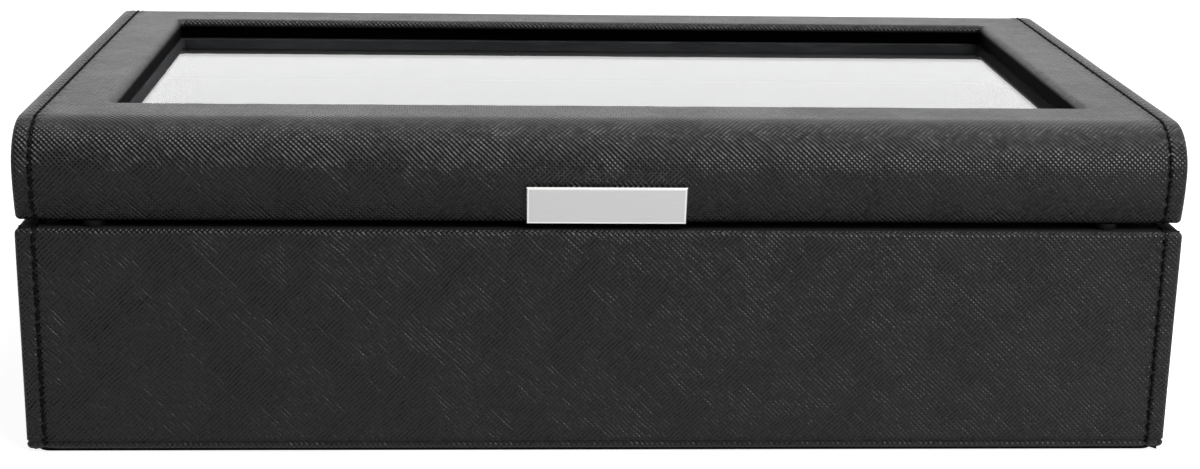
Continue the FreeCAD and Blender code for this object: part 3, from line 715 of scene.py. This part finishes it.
def cushion_ring():
    """The pillow's end view: a flat foot, round sides and a crowned top."""
    half = cushion_size.y / 2 - start_inset
    tall = cushion_size.z - start_inset
    foot = half - foot_radius
    rise = tall - foot_radius
    crown = (half * half + rise * rise) / (2 * rise)
    crown_centre = tall - crown
    lean = math.degrees(math.atan2(foot_radius - crown_centre, half))
    return trace([
        ((-foot, 0), (foot, 0)),
        ((foot, foot_radius), foot_radius, -90, 0),
        ((0, crown_centre), crown, lean, 180 - lean),
        ((-foot, foot_radius), foot_radius, 180, 270),
    ], ring_gap)[:-1]


def cushion_start():
    """The sewn bag before it is stuffed: a little smaller than the pillow all round."""
    half = cushion_size.x / 2 - start_inset
    stations = [
        (-half, end_draw), (roll_length - half, shoulder_draw), (-half / 2, 0), (0, 0),
        (half / 2, 0), (half - roll_length, shoulder_draw), (half, end_draw),
    ]
    mesh = bmesh.new()
    rings = []
    for x, draw in stations:
        keep_out = 1 - draw / (cushion_size.y / 2)
        keep_up = 1 - draw / cushion_size.z
        places = [(x, spot.out * keep_out, spot.up * keep_up) for spot in cushion_ring()]
        rings.append([mesh.verts.new(place) for place in places])
    for near_ring, far_ring in zip(rings, rings[1:]):
        for n in range(len(near_ring)):
            mesh.faces.new((near_ring[n - 1], near_ring[n], far_ring[n], far_ring[n - 1]))
    mesh.faces.new(rings[0])
    mesh.faces.new(list(reversed(rings[-1])))
    bmesh.ops.recalc_face_normals(mesh, faces=mesh.faces)
    return add_object("cushion_bag", mesh)


def stuff_cushion():
    """The pillow's shape: the bag meshed evenly, blown up by its filling and held to its cell."""
    bag = cushion_start()
    remesh = bag.modifiers.new("Even mesh", "REMESH")
    remesh.mode = "VOXEL"
    remesh.voxel_size = voxel
    settle(bag)
    empty_bag = [v.co.copy() for v in bag.data.vertices]
    filling = bag.modifiers.new("Filling", "CLOTH")
    filling.settings.use_pressure = True
    filling.settings.uniform_pressure_force = filling_pressure
    filling.settings.effector_weights.gravity = 0.0
    filling.settings.quality = 6
    filling.settings.tension_stiffness = 18
    filling.settings.bending_stiffness = 2.0
    for step in range(1, filling_steps + 1):
        bpy.context.scene.frame_set(step)
    settle(bag)
    bpy.context.scene.frame_set(1)
    for vert, start in zip(bag.data.vertices, empty_bag):
        move = vert.co - start
        if move.length > swell_limit:
            vert.co = start + move.normalized() * swell_limit
    smooth = bag.modifiers.new("Round", "SUBSURF")
    smooth.levels = smooth.render_levels = 2
    settle(bag)
    low = Vector(min(v.co[axis] for v in bag.data.vertices) for axis in range(3))
    high = Vector(max(v.co[axis] for v in bag.data.vertices) for axis in range(3))
    for vert in bag.data.vertices:
        for axis in range(3):
            share = (vert.co[axis] - low[axis]) / (high[axis] - low[axis])
            vert.co[axis] = share * cushion_size[axis]
    for vert in bag.data.vertices:
        vert.co -= Vector((cushion_size.x / 2, cushion_size.y / 2, 0))
    return bag


def end_seams(bag):
    """Loops of points round the pillow where its end panels are sewn in."""
    mesh = bmesh.new()
    mesh.from_mesh(bag.data)
    surface = BVHTree.FromBMesh(mesh)
    mesh.free()
    middle = cushion_size.z * girth_centre_share
    loops = []
    for side in (-1, 1):
        x = side * (cushion_size.x / 2 - piping_place)
        loop = []
        for n in range(piping_points):
            turn = math.tau * n / piping_points
            ray = Vector((0, math.cos(turn), math.sin(turn)))
            hit = surface.ray_cast(Vector((x, 0, middle)), ray)[0]
            loop.append(hit - ray * piping_radius * piping_sunk_share)
        loops.append(loop)
    return loops


def crease(place, key):
    """Slack in the wrap: shallow folds that run in from the end seams, different on each pillow."""
    inward = cushion_size.x / 2 - abs(place.x)
    fade = math.exp(-((inward - fold_place) / fold_reach) ** 2)
    folds = noise.noise(Vector((place.x / fold_length + key, place.y / fold_width, place.z / fold_width)))
    broad = noise.noise(Vector((place.x, place.y, place.z)) / slack_length + Vector((key, 0, 0)))
    return crease_depth * (fade * folds + slack_share * broad)


def make_cushion(name, bag, loops, key):
    """One pillow in its cell, with its end seams drawn in and piped."""
    low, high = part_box(name)
    place = Vector(((low.x + high.x) / 2, (low.y + high.y) / 2, low.z))
    mesh = bmesh.new()
    mesh.from_mesh(bag.data)
    mesh.normal_update()
    for vert in mesh.verts:
        inward = cushion_size.x / 2 - abs(vert.co.x)
        drawn = end_seam_depth * math.exp(-(((inward - piping_place) / end_seam_width) ** 2))
        lifted = min(1.0, vert.co.z / calm_foot)
        vert.co -= vert.normal * (drawn + lifted * abs(crease(vert.co, key)))
    turns = [math.tau * n / piping_sides for n in range(piping_sides)]
    for loop in loops:
        centre = sum(loop, Vector()) / len(loop)
        rings = []
        for point in loop:
            out = (point - centre).normalized()
            rings.append([
                mesh.verts.new(point + piping_radius * (
                    out * math.cos(turn) + Vector((1, 0, 0)) * math.sin(turn)
                ))
                for turn in turns
            ])
        for n in range(len(rings)):
            for k in range(piping_sides):
                mesh.faces.new((rings[n - 1][k - 1], rings[n - 1][k], rings[n][k], rings[n][k - 1]))
    for vert in mesh.verts:
        vert.co.z = max(vert.co.z, 0.0)
        vert.co += place
    for face in mesh.faces:
        face.smooth = True
    bmesh.ops.recalc_face_normals(mesh, faces=mesh.faces)
    pillow = make_piece(name + "_pillow", mesh, cushion_suede, name, [name])


cushion_suede = suede_finish("cushion_suede", (0.035, 0.035, 0.038), (0.115, 0.115, 0.122), 0.7)
cushion_bag = stuff_cushion()
seam_loops = end_seams(cushion_bag)
for row, row_name in enumerate(("front", "back")):
    for column in range(1, 7):
        make_cushion(f"cushion_{row_name}_{column}", cushion_bag, seam_loops, 3.7 * column + 31.3 * row)
bpy.data.objects.remove(cushion_bag)

# Rim bumpers: two soft rubber studs, moulded to one size, with a slight bloom.
# They are pushed into the front rim, and keep the closed lid off the base.
bumper_edge = 0.4 * mm
bumper_rubber, tree, shader, where = new_finish("bumper_rubber", {"Specular IOR Level": 0.12})
bloom = cloud(tree, where, 700, 3.0)
join(tree, shader, {
    "Base Color": tint(tree, bloom, (0.004, 0.004, 0.004), (0.012, 0.012, 0.012)),
    "Roughness": spread(tree, bloom, 0.7, 0.95),
    "Normal": relief(tree, bloom, 0.04 * mm),
})
dress(["rim_bumpers"], bumper_rubber)
wrap_edges(["rim_bumpers"], bumper_edge)

# Lid carcass: four fibreboard rails, sawn and glued into a frame like the boards of the base.
# The front rail is shaped to the lid's rounded front, and the covers hide all four.
dress([f"lid_{side}_rail" for side in four_sides], fibreboard)

# Lid covers: one main piece of leatherette over the front roll, the top and the back, cut out and
# turned down into the window, and one piece folded over each end and sewn on at the seams.
lid_front = -lid_low.y
lid_bottom = lid_low.z
lid_top = lid_high.z
lid_roll = 14 * mm
lip_setback = 2.0 * mm
rail_y = 91.5 * mm
rail_x = 160 * mm
window_corner = 1.5 * mm
reveal_round = 2.2 * mm
corner_fold = 0.45 * mm
corner_fold_length = 3.4 * mm
stile_wrinkle = 0.10 * mm
wrinkle_length = 40 * mm
wrinkle_width = 9 * mm
reveal_ripple_length = 8 * mm
short_post_gap = 2.5 * mm
underside_gap = 6 * mm
rim_depth = 0.3 * mm
reveal_gap = 0.8 * mm
stile_levels = [0.1, 0.2, 0.3, 0.4, 0.5, 0.6, 0.7, 0.78, 0.84, 0.88, 0.91, 0.94, 0.955, 0.97, 0.985, 1.0]
flat_y = lid_front - lid_roll
shoulder = lid_top - lid_roll
lip_rise = shoulder - lid_bottom
lip_radius = (lip_setback ** 2 + lip_rise ** 2) / (2 * lip_setback)
lip_centre = lip_radius - lid_front
turn_level = lid_bottom + edge_round
turn_y = lip_centre - math.sqrt((lip_radius - edge_round) ** 2 - (shoulder - turn_level) ** 2)
turn_angle = math.degrees(math.atan2(turn_level - shoulder, turn_y - lip_centre)) % 360

lid_front_path = trace([
    ((-rail_y, lid_bottom), (turn_y, lid_bottom)),
    ((turn_y, turn_level), edge_round, 270, turn_angle),
    ((lip_centre, shoulder), lip_radius, turn_angle, 180),
    ((-flat_y, shoulder), lid_roll, 180, 90),
], row_spacing)
top_start = lid_front_path[-1].along
lid_top_path = trace([((-flat_y, lid_top), (flat_y, lid_top))], row_spacing, top_start)
lid_back_path = trace([
    ((flat_y, shoulder), lid_roll, 90, 0),
    ((lid_front, shoulder), (lid_front, turn_level)),
    ((lid_front - edge_round, turn_level), edge_round, 0, -90),
    ((lid_front - edge_round, lid_bottom), (rail_y, lid_bottom)),
], row_spacing, top_start + 2 * flat_y)
lid_around = lid_front_path + lid_top_path[1:] + lid_back_path[1:]
reveal_path = trace([
    ((0, glass_high.z), (0, lid_top - reveal_round)),
    ((reveal_round, lid_top - reveal_round), reveal_round, 180, 90),
], reveal_gap)


def curtain(path):
    """Rows of the main piece along the front or the back, from seam to seam."""
    grid = []
    for spot in path:
        row = []
        for x in spaced(seam_x, post_gap):
            sunk = dip(seam_x - abs(x), spot.along, (x, spot.out, spot.up))
            place = (x, spot.out - sunk * spot.side_out, spot.up - sunk * spot.side_up)
            row.append((place, (x, spot.along)))
        grid.append(row)
    return grid


def window_side(along, out, half_along, half_out, outer_along, outer_out, shares):
    """Rows of the main piece on one side of the window: up out of the reveal, then across the top."""
    straight = half_along - window_corner
    bend_radius = window_corner + reveal_round
    reach = straight + bend_radius * math.pi / 4
    reveal_length = reveal_path[-1].along
    grid = [[] for spot in reveal_path]
    grid += [[] for level in stile_levels]
    for share in shares:
        travel = abs(share) * reach
        sign = math.copysign(1, share)
        turn = max(0.0, travel - straight) / bend_radius
        facing = out * math.cos(turn) + along * sign * math.sin(turn)
        centre = along * sign * min(travel, straight) + out * (half_out - window_corner)
        wall = centre + facing * window_corner
        from_corner = reach - travel
        gather = corner_fold * math.exp(-((from_corner / corner_fold_length) ** 2))
        gather *= math.cos(math.tau * from_corner / corner_fold_length)
        brink = wall + facing * reveal_round
        for number, spot in enumerate(reveal_path):
            depth = (reveal_length - spot.along) / reveal_length
            ripple = hide_ripple * noise.noise(Vector((*wall, spot.up)) / reveal_ripple_length)
            push = gather * depth - ripple
            place = wall + facing * (spot.out + push * spot.side_out)
            pattern_place = brink - facing * (reveal_length - spot.along)
            grid[number].append((
                (place.x, place.y, spot.up + push * spot.side_up),
                (pattern_place.x, top_start + flat_y + pattern_place.y),
            ))
        outer = along * share * outer_along + out * outer_out
        for number, level in enumerate(stile_levels, start=len(reveal_path)):
            place = brink.lerp(outer, level)
            distance = top_start + flat_y + place.y
            sunk = dip(seam_x - abs(place.x), distance, (place.x, place.y, lid_top))
            wrinkle = noise.noise(Vector((place.x / wrinkle_length, place.y / wrinkle_width, 0)))
            calm = 4 * level * (1 - level)
            up = lid_top - sunk - stile_wrinkle * calm * wrinkle
            grid[number].append(((place.x, place.y, up), (place.x, distance)))
    return grid


def lid_main_cover():
    """The main piece: front, back and the four sides of the window as one sheet."""
    mesh = bmesh.new()
    lay_grid(mesh, curtain(lid_front_path))
    lay_grid(mesh, curtain(lid_back_path))
    long_shares = [x / seam_x for x in spaced(seam_x, post_gap)]
    short_shares = [y / flat_y for y in spaced(flat_y, short_post_gap)]
    right, back = Vector((1, 0)), Vector((0, 1))
    for side in (-1, 1):
        lay_grid(mesh, window_side(right, back * side, window_x, window_y, seam_x, flat_y, long_shares))
        lay_grid(mesh, window_side(back, right * side, window_y, window_x, flat_y, seam_x, short_shares))
    face_outwards(mesh, Vector((0, 0, lid_bottom)))
    make_hide("lid_main", mesh, "lid")


def lid_end_cover(side, name):
    """One end piece: the strip from the seam over the edge, the flat end and the turned-in lower edge."""
    back_end = lid_back_path[-1].along
    underside_path = trace([((rail_y, lid_bottom), (-rail_y, lid_bottom))], underside_gap, back_end)
    strip = [(seam_x + step, 0.0, step) for step in seam_steps]
    for n in range(1, corner_steps + 1):
        turn = math.radians(90 * n / corner_steps)
        x = half_width - edge_round + edge_round * math.sin(turn)
        far = seam_steps[-1] + edge_round * turn
        strip.append((x, edge_round * (math.cos(turn) - 1), far))
    mesh = bmesh.new()
    grid = []
    for spot in lid_around + underside_path[1:]:
        row = []
        sewn = spot.along <= back_end
        for x, out, far in strip:
            sunk = dip(far if sewn else half_width, spot.along, (side * x, spot.out, spot.up))
            shift = out - sunk
            place = (side * x, spot.out + shift * spot.side_out, spot.up + shift * spot.side_up)
            row.append((place, (side * (seam_x + far), spot.along)))
        grid.append(row)
    lay_grid(mesh, grid)
    inner = [rail_x, (rail_x + seam_x) / 2, seam_x]
    lay_grid(mesh, [
        [((side * x, spot.out, spot.up), (side * x, spot.along)) for x in inner]
        for spot in underside_path
    ])
    bmesh.ops.remove_doubles(mesh, verts=mesh.verts, dist=merge_gap)
    rim = [
        edge for edge in mesh.edges
        if edge.is_boundary and all(abs(v.co.x) > half_width - rim_depth for v in edge.verts)
    ]
    pattern = mesh.loops.layers.uv.verify()
    for face in bmesh.ops.edgeloop_fill(mesh, edges=rim)["faces"]:
        for loop in face.loops:
            loop[pattern].uv = (loop.vert.co.y, loop.vert.co.z)
    face_outwards(mesh, Vector((0, 0, (lid_top + lid_bottom) / 2)))
    make_hide(name, mesh, "lid")


lid_main_cover()
lid_end_cover(-1, "lid_left")
lid_end_cover(1, "lid_right")

# Lid stitching: the same black polyester thread as on the base, lock-stitched along both seams.
# Each row runs from the front edge over the top to the back edge.


def lid_seam(side):
    """The thread's path over the lid along one seam."""
    return [
        (side * seam_x, spot.out - thread_sink * spot.side_out, spot.up - thread_sink * spot.side_up)
        for spot in lid_around
    ]


sew("lid_stitching", [lid_seam(side) for side in (-1, 1)], "lid")

# Window: a plain sheet of clear float glass, cut to size, with its edges hidden in the lid.
# It is bedded under the turned-down leatherette, and the retainer holds it from below.
window_glass, tree, shader, where = new_finish("window_glass", {
    "Transmission Weight": 1.0,
    "IOR": 1.5,
    "Roughness": 0.0,
})
wiped = cloud(tree, stretch(tree, where, (4, 90, 1)), 1.0, 3.0)
join(tree, shader, {"Base Color": tint(tree, wiped, (0.93, 0.95, 0.945), (0.97, 0.985, 0.98))})
dress(["window_glass"], window_glass)
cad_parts["window_glass"].visible_shadow = False

# Glass retainer and lid lining: a rebated frame under the glass and four strips inside the rails.
# All are card or thin board wrapped in the tray's suede.
lid_lining_edge = 0.6 * mm
lid_lining = ["glass_retainer"] + [f"lid_{side}_liner" for side in four_sides]
dress(lid_lining, lining_suede)
wrap_edges(lid_lining, lid_lining_edge)

# Front plate: a bare strip of brushed steel with a polished, lighter border (a painted highlight), pinned
# through the lid's front edge.
# A finger under it lifts the lid.
plate_low, plate_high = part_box("front_plate")
plate_width = plate_high.x - plate_low.x
plate_thickness = 1.0 * mm
plate_middle = (plate_low.z + plate_high.z) / 2
plate_tilt = math.asin((shoulder - plate_middle) / lip_radius)
plate_rise = plate_high.z - plate_low.z
plate_height = (plate_rise - plate_thickness * math.sin(plate_tilt)) / math.cos(plate_tilt)
plate_bevel = 0.3 * mm
plate_border = 0.8 * mm
polished_border_highlight_tone = (0.94, 0.94, 0.93, 1)
border_roughness = 0.16
brush_depth = 0.012 * mm

plate_metal, tree, shader, where = new_finish("plate_metal", {"Metallic": 1.0}, "UV")
brushing = cloud(tree, stretch(tree, where, (140, 5200, 1)), 1.0, 3.0, 0.6)
axes = add_node(tree, "ShaderNodeSeparateXYZ", {"Vector": where}).outputs
edge_x = calculate(tree, "SUBTRACT", plate_width / 2, calculate(tree, "ABSOLUTE", axes["X"]))
edge_y = calculate(tree, "SUBTRACT", plate_height / 2, calculate(tree, "ABSOLUTE", axes["Y"]))
from_edge = calculate(tree, "MINIMUM", edge_x, edge_y)
polished = spread(tree, from_edge, 1.0, 0.0, plate_border * 0.8, plate_border)
matt = calculate(tree, "SUBTRACT", 1.0, polished)
brushed_tone = tint(tree, brushing, (0.66, 0.66, 0.66), (0.79, 0.79, 0.785))
# Painted highlight: the polished border gets a lighter colour than the brushed steel, for the bright line
# along the plate's edges.
bright = add_node(tree, "ShaderNodeMix", {0: polished, 6: brushed_tone, 7: polished_border_highlight_tone}, data_type="RGBA")
brushed_roughness = spread(tree, brushing, 0.26, 0.38)
join(tree, shader, {
    "Base Color": bright.outputs[2],
    "Roughness": calculate(tree, "MULTIPLY_ADD", matt, brushed_roughness, border_roughness),
    "Normal": relief(tree, calculate(tree, "MULTIPLY", brushing, matt), brush_depth),
})


def make_plate():
    """The plate, with its front edges chamfered, leaning with the lid's lip."""
    mesh = bmesh.new()
    bmesh.ops.create_cube(mesh, size=1.0)
    bmesh.ops.scale(mesh, vec=(plate_width, plate_thickness, plate_height), verts=mesh.verts)
    front = [e for e in mesh.edges if all(v.co.y < -plate_thickness / 2 + same_place for v in e.verts)]
    bmesh.ops.bevel(mesh, geom=front, offset=plate_bevel, segments=1, affect="EDGES")
    pattern = mesh.loops.layers.uv.verify()
    for face in mesh.faces:
        for loop in face.loops:
            loop[pattern].uv = (loop.vert.co.x, loop.vert.co.z)
    lean = plate_height / 2 * math.sin(plate_tilt) + plate_thickness / 2 * math.cos(plate_tilt)
    centre = Vector((0, plate_low.y + lean, plate_middle))
    bmesh.ops.transform(mesh, matrix=Matrix.Rotation(plate_tilt, 4, "X"), verts=mesh.verts)
    bmesh.ops.translate(mesh, vec=centre, verts=mesh.verts)
    make_piece("lid_front_plate", mesh, plate_metal, "lid", ["front_plate"])


make_plate()

# Hinges: two nickel-plated steel stop hinges at the back, each with two leaves, a pin and four screws.
# A leaf lies on the base's rim and one under the lid's, and the lid leaf's tail stops the lid.
hinge_metal, tree, shader, where = new_finish("hinge_metal", {"Metallic": 1.0})
rolled = cloud(tree, stretch(tree, where, (60, 1400, 1400)), 1.0, 3.0, 0.6)
handled = cloud(tree, where, 130, 3.0)
join(tree, shader, {
    "Base Color": tint(tree, handled, (0.46, 0.45, 0.43), (0.62, 0.61, 0.58)),
    "Roughness": spread(tree, calculate(tree, "MULTIPLY", rolled, handled), 0.18, 0.45, 0.1, 0.5),
    "Normal": relief(tree, rolled, 0.008 * mm),
})
hinges = [f"hinge_{part}_{side}" for part in ("base_leaf", "lid_leaf", "pin") for side in ("left", "right")]
dress(hinges + ["hinge_base_screws", "hinge_lid_screws"], hinge_metal)

# Studio: a white floor and surround, with a soft key light over the front right of the box, a small
# light low on the right and a dim one behind. Three black flags, which the camera doesn't see, stand
# round the front and darken what the leatherette mirrors.
floor_size = 8.0
surround_level = 0.28
floor_in_gloss = 0.29
floor_lift = 0.6
flag_height = 1.3
flag_reach = 1.25
flag_forward = 0.9
flag_off_floor = 0.02


def seen_plainly(tree):
    """1 on rays from the camera, from gloss and through glass, which see the plain white."""
    path = add_node(tree, "ShaderNodeLightPath").outputs
    both = calculate(tree, "MAXIMUM", path["Is Camera Ray"], path["Is Glossy Ray"])
    return calculate(tree, "MAXIMUM", both, path["Is Transmission Ray"])


def studio_sheet(name, width, height, matrix, finish):
    """A flat sheet of the studio, turned and moved to its place."""
    mesh = bmesh.new()
    bmesh.ops.create_grid(mesh, x_segments=1, y_segments=1, size=0.5)
    bmesh.ops.scale(mesh, vec=(width, height, 1), verts=mesh.verts)
    bmesh.ops.transform(mesh, matrix=matrix, verts=mesh.verts)
    sheet = add_object(name, mesh)
    sheet.data.materials.append(finish)
    return sheet


floor_finish, tree, shader, _ = new_finish("studio_floor", {
    "Base Color": (0.5, 0.5, 0.5, 1.0),
    "Roughness": 1.0,
    "Specular IOR Level": 0.0,
    "Emission Color": (1.0, 1.0, 1.0, 1.0),
})
floor_path = add_node(tree, "ShaderNodeLightPath").outputs
mirrored = calculate(tree, "MULTIPLY", seen_plainly(tree), floor_in_gloss)
direct = calculate(tree, "MAXIMUM", floor_path["Is Camera Ray"], floor_path["Is Transmission Ray"])
lifted = calculate(tree, "MULTIPLY_ADD", direct, floor_lift, mirrored)
tree.links.new(lifted, shader.inputs["Emission Strength"])
studio_sheet("studio_floor", floor_size, floor_size, Matrix.Identity(4), floor_finish)

flag_shift = Matrix.Translation((0, -flag_forward, 0))
flag_finish = new_finish("black_flag", {
    "Base Color": (0.02, 0.02, 0.02, 1.0),
    "Roughness": 1.0,
    "Specular IOR Level": 0.0,
})[0]
upright = Matrix.Rotation(math.pi / 2, 4, "X")
for flag_name, turn in (("front_flag", 0), ("left_flag", -90), ("right_flag", 90)):
    out = Matrix.Translation((0, -flag_reach, flag_height / 2 + flag_off_floor)) @ upright
    around = Matrix.Rotation(math.radians(turn), 4, "Z")
    flag = studio_sheet(flag_name, 2 * flag_reach, flag_height, flag_shift @ around @ out, flag_finish)
    flag.visible_camera = False

world = bpy.data.worlds.new("studio")
bpy.context.scene.world = world
world.use_nodes = True
tree = world.node_tree
tree.nodes.clear()
plain = add_node(tree, "ShaderNodeBackground", {"Color": (1, 1, 1, 1), "Strength": 1.0})
dimmed = add_node(tree, "ShaderNodeBackground", {"Color": (1, 1, 1, 1), "Strength": surround_level})
choice = add_node(tree, "ShaderNodeMixShader", {
    0: seen_plainly(tree),
    1: dimmed.outputs["Background"],
    2: plain.outputs["Background"],
})
add_node(tree, "ShaderNodeOutputWorld", {"Surface": choice.outputs["Shader"]})


def soft_light(name, place, target, width, height, level):
    """A soft box of an even brightness, turned to a point and not itself seen."""
    lamp = bpy.data.lights.new(name, "AREA")
    lamp.shape = "RECTANGLE"
    lamp.size = width
    lamp.size_y = height
    lamp.energy = level * math.pi * width * height
    made = bpy.data.objects.new(name, lamp)
    bpy.context.scene.collection.objects.link(made)
    made.location = place
    made.rotation_euler = (Vector(target) - Vector(place)).to_track_quat("-Z", "Y").to_euler()
    made.visible_camera = False


soft_light("key_light", (0.60, -0.36, 1.20), (0, 0, 0.05), width=1.0, height=0.8, level=9.5)
soft_light("right_light", (1.00, -0.72, 0.36), (0.1, -0.1, 0.05), width=0.5, height=0.5, level=3.0)
soft_light("back_light", (0.0, 1.9, 0.50), (0, 0, 0.08), width=3.0, height=0.8, level=0.6)

# Camera: where the photograph was taken from, a little left of the middle and above the lid.
# Its place, its turn and its lens were worked out from the box's straight edges.
focal_pixels = 2087.0
image_width = 1200.0
camera_place = Vector((-32.0, -684.0, 231.5)) * mm
camera_yaw = math.radians(2.96)
camera_pitch = math.radians(15.7)
camera_roll = math.radians(0.98)

forward = Vector((
    math.sin(camera_yaw) * math.cos(camera_pitch),
    math.cos(camera_yaw) * math.cos(camera_pitch),
    -math.sin(camera_pitch),
))
level_right = Vector((math.cos(camera_yaw), -math.sin(camera_yaw), 0))
level_up = level_right.cross(forward)
right = level_right * math.cos(camera_roll) + level_up * math.sin(camera_roll)
up = level_up * math.cos(camera_roll) - level_right * math.sin(camera_roll)
lens = bpy.data.cameras.new("camera")
lens.sensor_fit = "HORIZONTAL"
lens.sensor_width = 36.0
lens.lens = lens.sensor_width * focal_pixels / image_width
camera = bpy.data.objects.new("camera", lens)
bpy.context.scene.collection.objects.link(camera)
camera.matrix_world = Matrix.Translation(camera_place) @ Matrix((right, up, -forward)).transposed().to_4x4()
bpy.context.scene.camera = camera
bpy.context.scene.view_settings.view_transform = "Standard"
